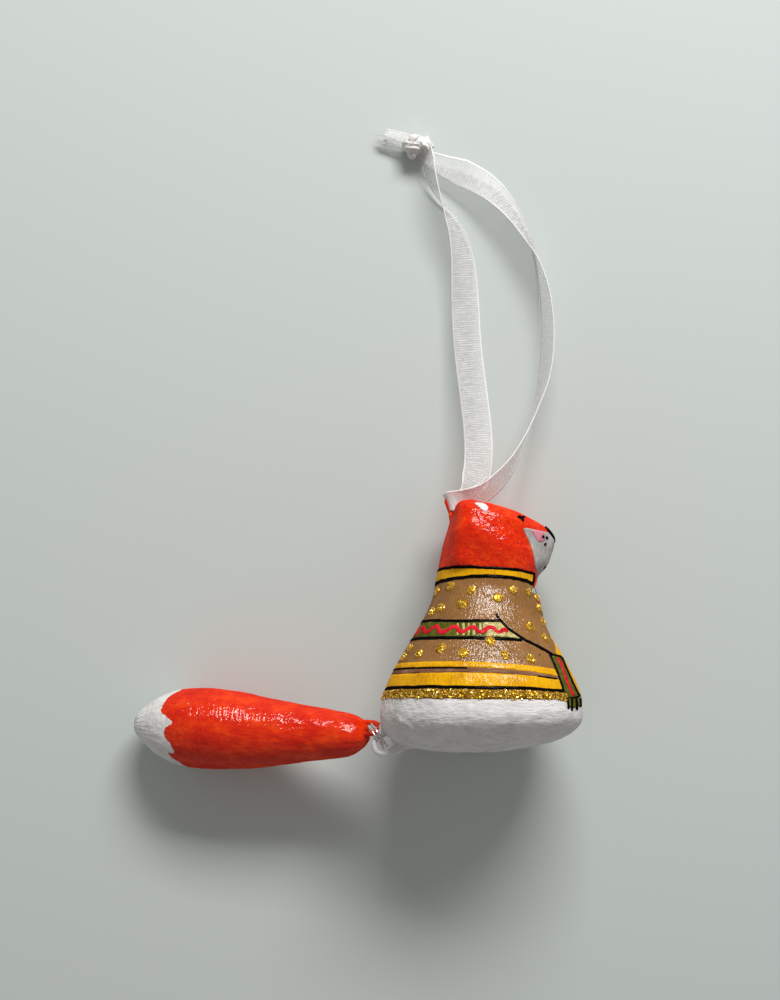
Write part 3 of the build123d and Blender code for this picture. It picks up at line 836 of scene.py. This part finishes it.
CHEEK = [(531.4, 530.4), (537, 530.4), (542.5, 532), (544.8, 536), (544, 540.2), (541, 542.3),
         (537.9, 541.3), (534.6, 537.3)]
WHISKERS = [[(542.2, 535.4), (543.4, 538.2)], [(546.3, 536.4), (547, 539.2)], [(545.5, 543), (544.5, 545.8)]]
LASHES = [([(517.8, 516.2), (521, 517.8)], 3.2), ([(520.4, 517.4), (522, 519), (523.3, 521.5)], 2.5),
          ([(521, 518.2), (522.8, 517.1), (525, 517.4)], 2.0)]
SPECKS = [[(539.2, 654.2), (539.8, 655)], [(500.2, 520.4), (500.6, 520.9)]]
EAR = [(474.8, 503.1), (479, 502.8), (483.5, 503.6), (487.3, 506.2), (488, 509), (486, 511.2),
       (482.8, 510.6), (478.5, 506.8)]
PLACKET = [(551.5, 637), (553.6, 641.6), (557, 655), (566.5, 671.5), (571.5, 680), (577, 692)]
OPENING = [(0, 33.5), (0.1, 26), (-0.1, 19), (0, 13.8)]


def front_outline(pixels, top, bottom):
    """Outline across the front of the fox, from pixels of its right edge and heights at its middle."""
    half = [around_place(body.seen(*pixel)[0]) for pixel in pixels]
    left = [(-arc, height) for arc, height in reversed(half)]
    return [(0.0, half[0][1] + top)] + half + [(0.0, half[-1][1] - bottom)] + left


def paint_front(coat, lift, *edge):
    """Paint across the front of the fox."""
    paint_around(coat, smooth(front_outline(*edge), 0.4, closed=True), lift)


def nose_chart(aside, height):
    """Place on the tip of the muzzle, seen along the way that it faces."""
    out, up = wheel(FRONT, UP, NOSE_FACING), wheel(UP, -FRONT, NOSE_FACING)
    return body.cast(fox_point(*NOSE_PLACE) + (out * 9 + SIDE * aside + up * height) * MM, -out)


stroke_seen(COLLAR_END, 2.2, RAISED_COAT)
paint_front("fox_red", THIN_COAT, NECKLINE, 1.0, 1.5)
# Muzzle in the darker face white, whose grey is partly painted shade
paint_front("face_white_painted_shade", COAT, MUZZLE, 0.3, 1.0)
paint("line_black", smooth(NOSE, 0.3, closed=True), nose_chart, NOSE_COAT, ARC_STEP)
neck_edge = front_outline(NECKLINE, 1.0, 1.5)[2:7]
for turn in (1, -1):
    line_around([(turn * arc, height) for arc, height in neck_edge], 0.5)
line_around(MOUTH, 0.6, 0.3, RAISED_COAT)
paint_seen("cheek_pink", CHEEK, SECOND_COAT)
for whisker in WHISKERS:
    stroke_seen(whisker, 2.4, RAISED_COAT, 0.5)
for lash, width in LASHES:
    stroke_seen(lash, width, step=0.5)
for speck in SPECKS:
    stroke_seen(speck, 1.5, step=0.4, mirrored=False)
paint_seen("ear_white", EAR, THICK_COAT)

# Front of the sweater: a yellow strip with a black opening
paint_front("trim_yellow", THIN_COAT, PLACKET, 1.5, 0.3)
line_around(OPENING, 0.6)
for coat, (points, faces) in coats.items():
    dress(add_piece("paint_" + coat, points, faces, paints[coat]), "fox", "painted_body")


# Glitter: dots in pixels of the photograph, and flakes along the hem and on the tail

DOTS = [(450.6, 586), (471, 590), (513.5, 590), (528.6, 592), (498, 598), (437, 591.5), (462, 604),
        (441, 608), (425.8, 608), (539, 608.5), (537, 598), (530.5, 627), (543, 622), (545, 638),
        (490, 641), (441, 648), (419, 654), (463, 653), (505, 655), (531, 659), (410, 648), (404, 657)]
DOT_RADIUS = 1.32
DOT_HEIGHT = 0.52
DOT_FLAKES = 60
DOT_RINGS = 4
DOT_COLUMNS = 14
GLUE_TINT = 0.35
GLUE_SUNK = 0.1
FLAKE = 0.45
FLAKE_THICKNESS = 0.05
FLAKE_LEAN = 0.75
FLAKE_FACES = ((3, 2, 1, 0), (4, 5, 6, 7), (0, 1, 5, 4), (1, 2, 6, 5), (2, 3, 7, 6), (3, 0, 4, 7))
HEM_FLAKES = 3000
FLECKS = ((188.4, 703.9), (290.9, 712.9))
FLECK_SIZE = 0.5
FLECK_TINT = 0.9


class Glitter:
    """Glue and flakes of foil that make one piece."""

    def __init__(self):
        self.points, self.faces, self.tints = [], [], []

    def flake(self, place, normal, size):
        """Small tilted plate of foil."""
        start = len(self.points)
        side = spun(normal.orthogonal().normalized(), dice.uniform(0, 2 * math.pi), normal)
        lean = normal + side * dice.uniform(-FLAKE_LEAN, FLAKE_LEAN)
        lean += normal.cross(side) * dice.uniform(-FLAKE_LEAN, FLAKE_LEAN)
        lean.normalize()
        across = spun(lean.orthogonal().normalized(), dice.uniform(0, math.pi), lean)
        along = lean.cross(across)
        for level in (-0.5, 0.5):
            for corner in range(4):
                reach = size * dice.uniform(0.75, 1.15) / 2
                flat = wheel(across, along, math.pi / 2 * corner + 0.5) * reach
                self.points.append(place + (flat + lean * level * FLAKE_THICKNESS) * MM)
        self.faces += [[start + at for at in face] for face in FLAKE_FACES]
        self.tints += [dice.random()] * 8

    def mound(self, place, normal, radius):
        """Low drop of gold glue under the flakes."""
        start = len(self.points)
        side = normal.orthogonal().normalized()
        other = normal.cross(side)
        for rise in (math.pi / 2 * ring / DOT_RINGS for ring in range(DOT_RINGS)):
            level = normal * (DOT_HEIGHT * math.sin(rise) - GLUE_SUNK)
            for turn in even_turns(DOT_COLUMNS):
                reach = radius * math.cos(rise) * (1 + 0.12 * waver(turn, radius * 9, 0))
                self.points.append(place + (wheel(side, other, turn) * reach + level) * MM)
        for level in (-2 * GLUE_SUNK, DOT_HEIGHT - GLUE_SUNK):
            self.points.append(place + normal * level * MM)
        self.faces += closed_faces(DOT_RINGS, DOT_COLUMNS, start)
        self.tints += [GLUE_TINT] * (len(self.points) - start)

    def piece(self, name, body_name, slot):
        """The piece, with flat faces and a tint at each point."""
        piece = add_piece(name, self.points, self.faces, glitter)
        piece.data.shade_flat()
        piece.data.attributes.new("tint", "FLOAT", "POINT").data.foreach_set("value", self.tints)
        return dress(piece, body_name, slot)


def make_dots():
    """Dots of glitter, as the photograph has them, on both sides."""
    dots = Glitter()
    for pixel in DOTS:
        seen = body.seen(*pixel)
        for spot, out in (seen, other_side(seen[0])):
            radius = DOT_RADIUS * dice.uniform(0.88, 1.1)
            dots.mound(spot, out, radius)
            side = out.orthogonal().normalized()
            for _ in range(DOT_FLAKES):
                flat = spun(side, dice.uniform(0, 2 * math.pi), out)
                share = math.sqrt(dice.random())
                lift = DOT_HEIGHT * math.sqrt(max(0.0, 1 - share**2)) - 0.06
                dots.flake(spot + (flat * radius * share + out * lift) * MM,
                           (out + flat * share * 0.9).normalized(), FLAKE * dice.uniform(0.7, 1.2))
    return dots.piece("glitter_dots", "fox", "painted_body")


def make_hem():
    """Ragged band of glitter along the hem."""
    hem = Glitter()
    start = HEM_TOP[0][0]
    for _ in range(HEM_FLAKES):
        degrees = dice.uniform(start, 360 - start)
        mirrored = min(degrees, 360 - degrees)
        top, low = (float(np.interp(mirrored, *zip(*line))) for line in (HEM_TOP, HEM_LOW))
        low += 0.45 * waver(degrees / 4, 0, 0) + 0.3 * waver(degrees / 1.5, 3, 0)
        place, normal = body.around(degrees * DEGREE, low + (top - low) * dice.random())
        place = place + normal * dice.uniform(0.08, 0.3) * MM
        hem.flake(place, normal, FLAKE * dice.uniform(0.7, 1.25))
    return hem.piece("glitter_hem", "fox", "painted_body")


make_dots()
make_hem()


# Tail

TAIL_COLUMNS = 220
TAIL_NECK_ROWS = 34
TAIL_BODY_ROWS = 112
TAIL_NOSE_ROWS = 52
TAIL_SLOPE = 11.43
TAIL_HEADING = -1.2
TAIL_START = 1.0
TAIL_OFFSET = 2.0
TAIL_LENGTH = 62.1
TAIL_NECK = 7.0
TAIL_NOSE = 15.0
heading = Matrix.Rotation(math.radians(TAIL_HEADING), 3, "Z")
tail_turn = heading @ Matrix.Rotation(math.radians(-TAIL_SLOPE), 3, "Y")
TAIL_AXIS = tail_turn @ Vector((1, 0, 0))
TAIL_AHEAD = tail_turn @ Vector((0, 1, 0))
TAIL_ASIDE = tail_turn @ Vector((0, 0, 1))
TAIL_TOP = TAIL_HOOK - (TAIL_AXIS * TAIL_START + TAIL_AHEAD * TAIL_OFFSET) * MM

# Edge of the white tip in pixels of the photograph, then in degrees and distances on the hidden side
TIP_EDGE = [(180, 691), (169, 697), (162.5, 706), (161, 712), (166, 716.5), (171.8, 723), (165, 728),
            (163.8, 733.5), (165, 738), (169, 742.5), (173.5, 749.5), (173.5, 753), (168, 752.5),
            (173.5, 758.5), (181, 763)]
HIDDEN_EDGE = [(205, 46.0), (225, 49.5), (250, 46.5), (272, 50.0), (300, 47.0), (330, 49.5)]
TAIL_DEGREE = 0.15
TIP_REACH = 40.0
TIP_BEYOND = 90.0
TAIL_DENTS = ((0.24, 8.0), (0.07, 2.4))
TAIL_RIDGES = ((0.06, 0.9, 6.0, 6.0),)
TAIL_WRINKLES = ((0.12, 3.4, 1.3, 1.3),)


def tail_rows():
    """Rows of rays round the tail, from its thin end to its tip."""
    stations = []
    for step in range(TAIL_NECK_ROWS):
        stations.append((TAIL_NECK, LAST_RISE * (1 - step / TAIL_NECK_ROWS)))
    for step in range(TAIL_BODY_ROWS):
        stations.append((TAIL_NECK + (TAIL_LENGTH - TAIL_NOSE - TAIL_NECK) * step / TAIL_BODY_ROWS, 0.0))
    for step in range(TAIL_NOSE_ROWS + 1):
        stations.append((TAIL_LENGTH - TAIL_NOSE, -LAST_RISE * step / TAIL_NOSE_ROWS))
    return [(TAIL_TOP - TAIL_AXIS * reach * MM, math.radians(rise), TAIL_AHEAD, TAIL_ASIDE, TAIL_AXIS)
            for reach, rise in stations]


def tail_place(place):
    """Angle round the tail in degrees, and distance from its thin end."""
    local = place - TAIL_TOP
    turn = math.degrees(math.atan2(local.dot(TAIL_ASIDE), local.dot(TAIL_AHEAD))) % 360
    return turn, -local.dot(TAIL_AXIS) / MM


def tip_outline(core):
    """Outline of the white tip, as arcs round the tail and distances from its thin end."""
    edge = [tail_place(core.seen(*pixel)[0]) for pixel in TIP_EDGE] + HIDDEN_EDGE
    edge.append((edge[0][0] + 360, edge[0][1]))
    line = smooth([(turn * TAIL_DEGREE, reach) for turn, reach in edge], 0.5)
    return np.array([tuple(point) for point in line] + [(line[at].x, TIP_BEYOND) for at in (-1, 0)])


def tip_distances(core, points):
    """Distance of each point inside the white tip, below 0 outside it."""
    outline = tip_outline(core)
    places = np.array([tail_place(point) for point in points])
    arcs = places[:, 0] * TAIL_DEGREE
    arcs = np.where(arcs < outline[-1, 0], arcs + 360 * TAIL_DEGREE, arcs)
    tips = places[:, 1] - TIP_REACH - 6.0
    near = places[:, 1] > TIP_REACH
    distance, inside = edge_distance(np.stack([arcs, places[:, 1]], 1)[near], outline)
    tips[near] = np.where(inside, distance, -distance)
    return tips


def tail_texture(place):
    """Dents, brush ridges round the thick end, wrinkles to the thin end and folds at the tip."""
    turn, reach = tail_place(place)
    ridges = lumps(place, TAIL_RIDGES) * ease((reach - 26) / 8) * ease((54 - reach) / 4)
    wrinkles = lumps(place, TAIL_WRINKLES) * ease((30 - reach) / 12)
    folds = -0.3 * abs(waver(turn / 14, reach / 9, 4.0)) * ease((reach - 49) / 5)
    return lumps(place, TAIL_DENTS) + ridges + wrinkles + folds


def drawn_out(point):
    """Point of the skin, with the thin end drawn out and its upper side let down, as in the photograph."""
    turn, reach = tail_place(point)
    over = math.cos(math.radians(turn))
    out = (0.7 - 0.42 * over) * ease((9 - reach) / 8)
    down = 1.1 * (0.5 + 0.5 * over) * ease((13 - reach) / 9)
    return point + (TAIL_AXIS * out - TAIL_AHEAD * down) * MM


def make_tail():
    """Moulded tail with its red paint and white tip."""
    core = Skin(TAIL_TOP.z, NODES["tail_core"])
    rows = tail_rows()
    points = [drawn_out(point) for point in wrapped_skin(core.tree, rows, TAIL_COLUMNS, tail_texture)]
    points = capped(points, TAIL_COLUMNS)
    skin = add_piece("tail_skin", points, closed_faces(len(rows), TAIL_COLUMNS), tail_paint)
    tips = tip_distances(core, points)
    skin.data.attributes.new("tip", "FLOAT", "POINT").data.foreach_set("value", tips)
    return dress(skin, "tail", "painted_tail", "tail_core")


tail = Skin(TAIL_TOP.z, make_tail())


def make_flecks():
    """Stray flakes of glitter on the tail."""
    flecks = Glitter()
    for pixel in FLECKS:
        place, normal = tail.seen(*pixel)
        flecks.flake(place + normal * 0.05 * MM, normal, FLECK_SIZE)
    flecks.tints = [FLECK_TINT] * len(flecks.points)
    return flecks.piece("tail_flecks", "tail", "painted_tail")


make_flecks()


# Wire eyes under paint: balls of paint at their feet, forward and over the base, with their radius

REAR_WEB = [(-23.6, -0.5, 0.7), (-22.5, -0.1, 0.85), (-21.4, 0.5, 1.1), (-20.4, 1.3, 1.4), (-24.3, 7.3, 1.0),
            (-24.6, 6.1, 0.95), (-24.9, 5.1, 0.85), (-25.3, 4.3, 0.75), (-23.6, 5.7, 1.1), (-23.8, 4.8, 0.9),
            (-24.7, 4.3, 0.7), (-22.9, 4.7, 1.0), (-22.0, 4.1, 0.9)]
HANGING_WEB = [(-7.0, 59.8, 0.8), (-6.6, 58.9, 1.05)]
WIRE_VOXEL = 0.16
WIRE_ROUNDS = 6
WIRE_COAT = 0.14
WIRE_LUMPS = ((0.06, 0.9),)
LEAST_HEIGHT = 0.05


def lumped(piece, balls, voxel, rounds, swell, kinds, shader):
    """Piece and balls merged in one smoothed skin, moved out by a swell and by kinds of bumps."""
    work = bmesh.new()
    work.from_mesh(piece.data)
    for centre, radius in balls:
        spot = Matrix.Translation(centre)
        bmesh.ops.create_icosphere(work, subdivisions=3, radius=radius * MM, matrix=spot)
    work.to_mesh(piece.data)
    work.free()
    remesh = piece.modifiers.new("remesh", "REMESH")
    remesh.mode = "VOXEL"
    remesh.voxel_size = voxel * MM
    piece.modifiers.new("even", "SMOOTH").iterations = rounds
    bpy.context.view_layer.update()
    merged = piece.evaluated_get(bpy.context.evaluated_depsgraph_get())
    final = bpy.data.meshes.new_from_object(merged)
    piece.modifiers.clear()
    piece.data = final
    for vertex in final.vertices:
        vertex.co += vertex.normal * (swell + lumps(vertex.co, kinds)) * MM
        vertex.co.z = max(vertex.co.z, LEAST_HEIGHT * MM)
    final.shade_smooth()
    final.materials.clear()
    final.materials.append(shader)


def coated_wire(node, web, shader, body_name, slot):
    """Wire eye thickened by its paint, with fillets of paint where it leaves the pulp."""
    piece = bpy.data.objects.new(node + "_coat", NODES[node].data.copy())
    bpy.context.collection.objects.link(piece)
    balls = [(fox_point(forward, 0, height), radius) for forward, height, radius in web]
    lumped(piece, balls, WIRE_VOXEL, WIRE_ROUNDS, WIRE_COAT, WIRE_LUMPS, shader)
    return dress(piece, body_name, slot, node)


coated_wire("rear_eye", REAR_WEB, paints["base_white"], "fox", "white_wire")
coated_wire("hanging_eye", HANGING_WEB, paints["fox_red"], "fox", "red_wire")
coated_wire("tail_eye", [], paints["fox_red"], "tail", "red_wire")
for node, shader in (("split_ring", nickel), ("hanging_eye_plug", pulp), ("rear_eye_plug", pulp)):
    NODES[node].data.materials.clear()
    NODES[node].data.materials.append(shader)
NODES["split_ring"].data.shade_smooth()


# Ribbon: stations east and north of its origin, height over the table, roll and share of the width

RIBBON_ORIGIN = (-0.15, -1.66)
RIBBON_WIDTH = 7.3
FRONT_LEG = [
    (1.2, 1.6, 13.9, 10, 0.78), (4.2, 2.0, 13.7, 34, 0.95), (7.2, 3.3, 13.0, 48, 1), (11.5, 6.5, 11.8, 54, 1),
    (15.9, 12.0, 9.9, 70, 1), (19.4, 19.2, 7.6, 84, 1), (21.8, 26.0, 6.2, 94, 1), (23.8, 32.8, 5.4, 106, 1),
    (24.8, 40.2, 4.8, 112, 1), (24.9, 48.3, 4.4, 112, 1), (24.2, 56.4, 4.2, 104, 1), (22.7, 63.8, 4.0, 90, 1),
    (19.7, 70.9, 3.9, 66, 1), (15.5, 77.7, 3.7, 48, 1), (9.8, 84.0, 3.4, 24, 1), (2.4, 87.9, 2.6, 0, 1),
    (-3.0, 89.9, 2.4, 0, 0.7), (-8.4, 93.0, 2.6, 0, 0.35)]
FOLD = [
    (-2.0, 1.5, 12.2, 0, 0.5), (-1.6, 1.7, 13.6, 0, 0.68), (-0.2, 1.75, 14.0, 0, 0.7),
    (2.0, 2.4, 14.2, 14, 0.62), (4.4, 3.7, 13.9, 36, 0.42), (6.8, 5.6, 13.0, 47, 0.26),
    (9.0, 7.7, 12.2, 52, 0.12)]
BACK_LEG = [
    (0.6, 1.6, 11.9, 14, 0.35), (2.8, 2.8, 11.3, 14, 0.6), (4.7, 4.6, 10.9, 14, 0.85), (5.8, 7.4, 10.2, 8, 1),
    (6.6, 12.2, 9.0, 2, 1), (6.6, 19.2, 7.4, 0, 1), (5.5, 29.2, 5.6, 0, 1), (4.0, 40.8, 4.0, 0, 1),
    (3.4, 52.4, 3.0, 4, 1), (3.0, 62.9, 2.8, 27, 1), (1.8, 70.2, 3.2, 46, 1), (-0.5, 76.1, 3.9, 62, 1),
    (-3.4, 80.7, 4.4, 90, 1), (-5.6, 86.0, 4.9, 108, 1), (-6.6, 90.0, 4.9, 117, 1),
    (-6.6, 93.4, 4.4, 110, 0.8)]
UPPER_END = [(-11.0, 96.0, 3.6, 0, 0.38), (-14.2, 97.4, 3.0, 10, 0.36), (-17.6, 98.4, 2.4, 18, 0.3)]
LOWER_END = [(-11.2, 94.8, 2.8, 0, 0.3), (-14.6, 95.4, 2.0, -8, 0.28), (-17.8, 96.0, 1.6, -12, 0.24)]
ACROSS = 11
STRIP_STEP = 0.5
CLOTH_HALF = 0.05
EDGE_HALF = 0.15
EDGE_START = 0.85
STRIP_LOOP = [(side, face) for face in (1, -1) for side in np.linspace(-face, face, ACROSS)]

# Knot: its middle, the lobes of cloth on it with their radius, and its trefoil
KNOT = (-9.2, 95.0, 3.1)
KNOT_LOBES = [(-10.5, 92.6, 3.0, 1.35), (-10.2, 93.8, 3.1, 1.6), (-6.7, 96.4, 3.4, 0.9),
              (-5.4, 94.7, 3.2, 0.75), (-9.2, 95.1, 3.3, 2.35), (-11.2, 95.2, 3.2, 1.9), (-7.2, 94.9, 3.2, 1.9)]
KNOT_HEADING = 172.0
KNOT_LENGTH = 8.8
KNOT_WIDTH = 5.6
KNOT_TUBE = 1.25
KNOT_STEPS = 160
KNOT_SIDES = 16
KNOT_VOXEL = 0.14
KNOT_ROUNDS = 3
KNOT_CREASES = ((0.16, 1.3, 1.3, 0.6), (0.08, 0.45))

# Loose threads at the cut ends and on the knot
THREAD_SIDES = 5
END_THREAD = 0.05
KNOT_THREAD = 0.045
KNOT_THREADS = (-10.8, -10.3, -9.6, -9.1)


def on_table(station):
    """Point of a ribbon's station."""
    east = HANGING_EYE.x + (RIBBON_ORIGIN[0] + station[0]) * MM
    north = HANGING_EYE.y + (RIBBON_ORIGIN[1] + station[1]) * MM
    return Vector((east, north, station[2] * MM))


def route_line(name, stations):
    """Points of the smooth line that has the stations as its control points."""
    curve = bpy.data.curves.new(name, "CURVE")
    curve.dimensions = "3D"
    curve.resolution_u = 24
    spline = curve.splines.new("NURBS")
    spline.points.add(len(stations) - 1)
    for knot, station in zip(spline.points, stations):
        knot.co = (*on_table(station), 1)
    spline.order_u = 3
    spline.use_endpoint_u = True
    holder = bpy.data.objects.new(name, curve)
    bpy.context.collection.objects.link(holder)
    bpy.context.view_layer.update()
    mesh = bpy.data.meshes.new_from_object(holder)
    line = [vertex.co.copy() for vertex in mesh.vertices]
    bpy.data.objects.remove(holder)
    bpy.data.curves.remove(curve)
    bpy.data.meshes.remove(mesh)
    return line


def strip_sections(stations, line):
    """Place along a line, centre, roll and width at even steps."""
    reach = line_reach(line)
    marks = []
    for station in stations:
        gaps = [(point - on_table(station)).length for point in line]
        marks.append(reach[gaps.index(min(gaps))])
    marks[0], marks[-1] = 0.0, reach[-1]
    steps = max(4, round(reach[-1] / (STRIP_STEP * MM)))
    for place in (reach[-1] * step / steps for step in range(steps + 1)):
        centre = Vector([float(np.interp(place, reach, values)) for values in zip(*line)])
        roll, share = (float(np.interp(place, marks, values)) for values in list(zip(*stations))[3:])
        yield place, centre, roll, share * RIBBON_WIDTH


def make_strip(name, stations, shader, fray=0.0):
    """Flat strip of cloth along a route, with thicker edges, and the line that it follows."""
    line = route_line(name + "_line", stations)
    sections = list(strip_sections(stations, line))
    last = len(sections) - 1
    points, weave = [], []
    for at, (place, centre, roll, width) in enumerate(sections):
        way = (sections[min(at + 1, last)][1] - sections[max(at - 1, 0)][1]).normalized()
        across = spun(way.cross(Vector((0, 0, 1))).normalized(), math.radians(roll), way)
        normal = across.cross(way)
        reach = place / MM
        cup = 0.25 * waver(reach / 14, 0.3, len(stations))
        for side, face in STRIP_LOOP:
            half = EDGE_HALF if abs(side) > EDGE_START else CLOTH_HALF
            bend = cup * (1 - side * side) + 0.06 * waver(reach / 3, side * 2, 7.0)
            ragged = fray * waver(side * 9, 1.0, len(stations)) * (at == last)
            offset = across * side * width / 2 + normal * (bend + face * half) + way * ragged
            points.append(centre + offset * MM)
            weave += [side * width / 2, reach, side]
    columns = 2 * ACROSS
    faces = ring_faces(len(sections), columns)
    for start in (0, last * columns):
        faces += [[start + at, start + at + 1, start + columns - 2 - at, start + columns - 1 - at]
                  for at in range(ACROSS - 1)]
    strip = add_piece(name, points, faces, shader)
    strip.data.attributes.new("weave", "FLOAT_VECTOR", "POINT").data.foreach_set("vector", weave)
    return dress(strip, "ribbon", "sheer_ribbon"), line


def knot_line():
    """Flat trefoil that the knot's cloth follows."""
    length = KNOT_LENGTH / 2 - KNOT_TUBE
    width = KNOT_WIDTH / 2 - KNOT_TUBE
    return [Vector(((math.sin(turn) + 2 * math.sin(2 * turn)) / 3 * length,
                    (math.cos(turn) - 2 * math.cos(2 * turn)) / 3 * width,
                    -math.sin(3 * turn) * width)) for turn in even_turns(KNOT_STEPS)]


def make_knot():
    """Overhand knot of bunched ribbon, pulled tight and creased."""
    heading = Matrix.Rotation(math.radians(KNOT_HEADING), 3, "Z")
    line = knot_line()
    points = []
    for at, point in enumerate(line):
        way = (line[(at + 1) % KNOT_STEPS] - line[at - 1]).normalized()
        side = way.cross(point.normalized()).normalized()
        out = side.cross(way)
        for turn in even_turns(KNOT_SIDES):
            pleat = 1 + 0.16 * math.sin(6 * turn + 1.3 * math.sin(at / 9))
            flat = side * math.cos(turn) * 1.25 + out * math.sin(turn) * 0.85
            points.append(on_table(KNOT) + heading @ (point + flat * KNOT_TUBE * pleat) * MM)
    faces = [[face[at] % len(points) for at in (1, 0, 3, 2)] for face in ring_faces(KNOT_STEPS + 1, KNOT_SIDES)]
    knot = add_piece("ribbon_knot_wrap", points, faces)
    lobes = [(on_table(lobe), lobe[3]) for lobe in KNOT_LOBES]
    lumped(knot, lobes, KNOT_VOXEL, KNOT_ROUNDS, 0.0, KNOT_CREASES, bunched)
    return dress(knot, "ribbon", "sheer_ribbon", "ribbon_knot")


def add_thread(points, faces, line, radius):
    """Thin loose thread along a smooth line."""
    start = len(points)
    line = smooth(line, 0.3 * MM)
    ways = [after - here for here, after in zip(line, line[1:])]
    for point, way in zip(line, ways + ways[-1:]):
        side = way.orthogonal().normalized()
        other = way.normalized().cross(side)
        for turn in even_turns(THREAD_SIDES):
            points.append(point + wheel(side, other, turn) * radius * MM)
    faces += ring_faces(len(line), THREAD_SIDES, start)
    faces.append([start + column for column in reversed(range(THREAD_SIDES))])
    faces.append([len(points) - THREAD_SIDES + column for column in range(THREAD_SIDES)])


def make_threads():
    """Frayed threads at the cut ends and on the knot."""
    points, faces = [], []
    for stations, count in ((UPPER_END, 5), (LOWER_END, 11)):
        tip = on_table(stations[-1])
        way = (tip - on_table(stations[-2])).normalized()
        across = way.cross(Vector((0, 0, 1))).normalized()
        for _ in range(count):
            side = dice.uniform(-1, 1) * stations[-1][4] * RIBBON_WIDTH / 2 * MM
            start = tip + across * side - way * 0.8 * MM
            middle = start + (way * dice.uniform(1.0, 2.2) + across * dice.uniform(-0.5, 0.5)) * MM
            end = middle + (way * dice.uniform(0.4, 2.0) + across * dice.uniform(-1.1, 1.1)) * MM
            for point in (middle, end):
                point.z = max(point.z + dice.uniform(-0.4, 0.5) * MM, 0.2 * MM)
            add_thread(points, faces, [start, middle, end], END_THREAD)
    for east in KNOT_THREADS:
        start = on_table((east + 0.2, 96.8, 4.6))
        middle = on_table((east + dice.uniform(-0.3, 0.3), 99.4, 4.4))
        end = on_table((east + dice.uniform(-0.5, 0.7), 101.6, 3.6))
        add_thread(points, faces, [start, middle, end], KNOT_THREAD)
    return dress(add_piece("ribbon_threads", points, faces, bunched), "ribbon", "sheer_ribbon")


fold, _ = make_strip("ribbon_fold", FOLD, folded)
front_leg, front_line = make_strip("ribbon_front", FRONT_LEG, organza)
back_leg, back_line = make_strip("ribbon_back", BACK_LEG, organza)
upper_end, _ = make_strip("ribbon_upper_end", UPPER_END, organza, fray=0.5)
lower_end, _ = make_strip("ribbon_lower_end", LOWER_END, organza, fray=0.8)
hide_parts("ribbon_front_leg")
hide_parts("ribbon_back_leg")
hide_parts("ribbon_ends")
knot = make_knot()
threads = make_threads()
on_table(FRONT_LEG[0])
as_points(front_line)
on_table(BACK_LEG[0])
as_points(back_line)


# Floor, light and camera, in metres

FLOOR = [(-2, -2, 0), (2, -2, 0), (2, 2, 0), (-2, 2, 0)]
FLOOR_TINT = (0.56, 0.6, 0.57, 1)
FLOOR_DROP = 0.2
LAMP_PLACE = Vector((0.2, 0.76, 0.54))
LAMP_TARGET = Vector((0.01, 0.04, 0.0))
LAMP_SIZE = (0.55, 0.24)
LAMP_POWER = 10.2
WORLD_LIGHT = 0.28


def make_floor():
    """Plain pale floor."""
    ground = Finish("floor", roughness=0.8, base_color=FLOOR_TINT)
    floor = add_piece("floor", FLOOR, [[0, 1, 2, 3]], ground.shader)
    floor.location.z = -FLOOR_DROP * MM
    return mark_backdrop(floor)


def add_lamp():
    """Soft lamp that faces the fox."""
    lamp = bpy.data.lights.new("key", "AREA")
    lamp.shape = "RECTANGLE"
    lamp.size, lamp.size_y = LAMP_SIZE
    lamp.energy = LAMP_POWER
    holder = bpy.data.objects.new("key", lamp)
    holder.location = LAMP_PLACE
    holder.rotation_euler = (LAMP_TARGET - LAMP_PLACE).to_track_quat("-Z", "Y").to_euler()
    bpy.context.collection.objects.link(holder)


make_floor()
add_lamp()
world = bpy.data.worlds.new("world")
bpy.context.scene.world = world
world.use_nodes = True
world.node_tree.nodes["Background"].inputs["Color"].default_value = (1, 1, 1, 1)
world.node_tree.nodes["Background"].inputs["Strength"].default_value = WORLD_LIGHT

camera = bpy.data.cameras.new("camera")
camera.sensor_fit = "VERTICAL"
camera.sensor_height = SENSOR
camera.lens = SENSOR * FOCAL / PHOTO_HEIGHT
camera_holder = bpy.data.objects.new("camera", camera)
camera_holder.location = CAMERA
bpy.context.collection.objects.link(camera_holder)
bpy.context.scene.camera = camera_holder
bpy.context.scene.view_settings.view_transform = "Standard"
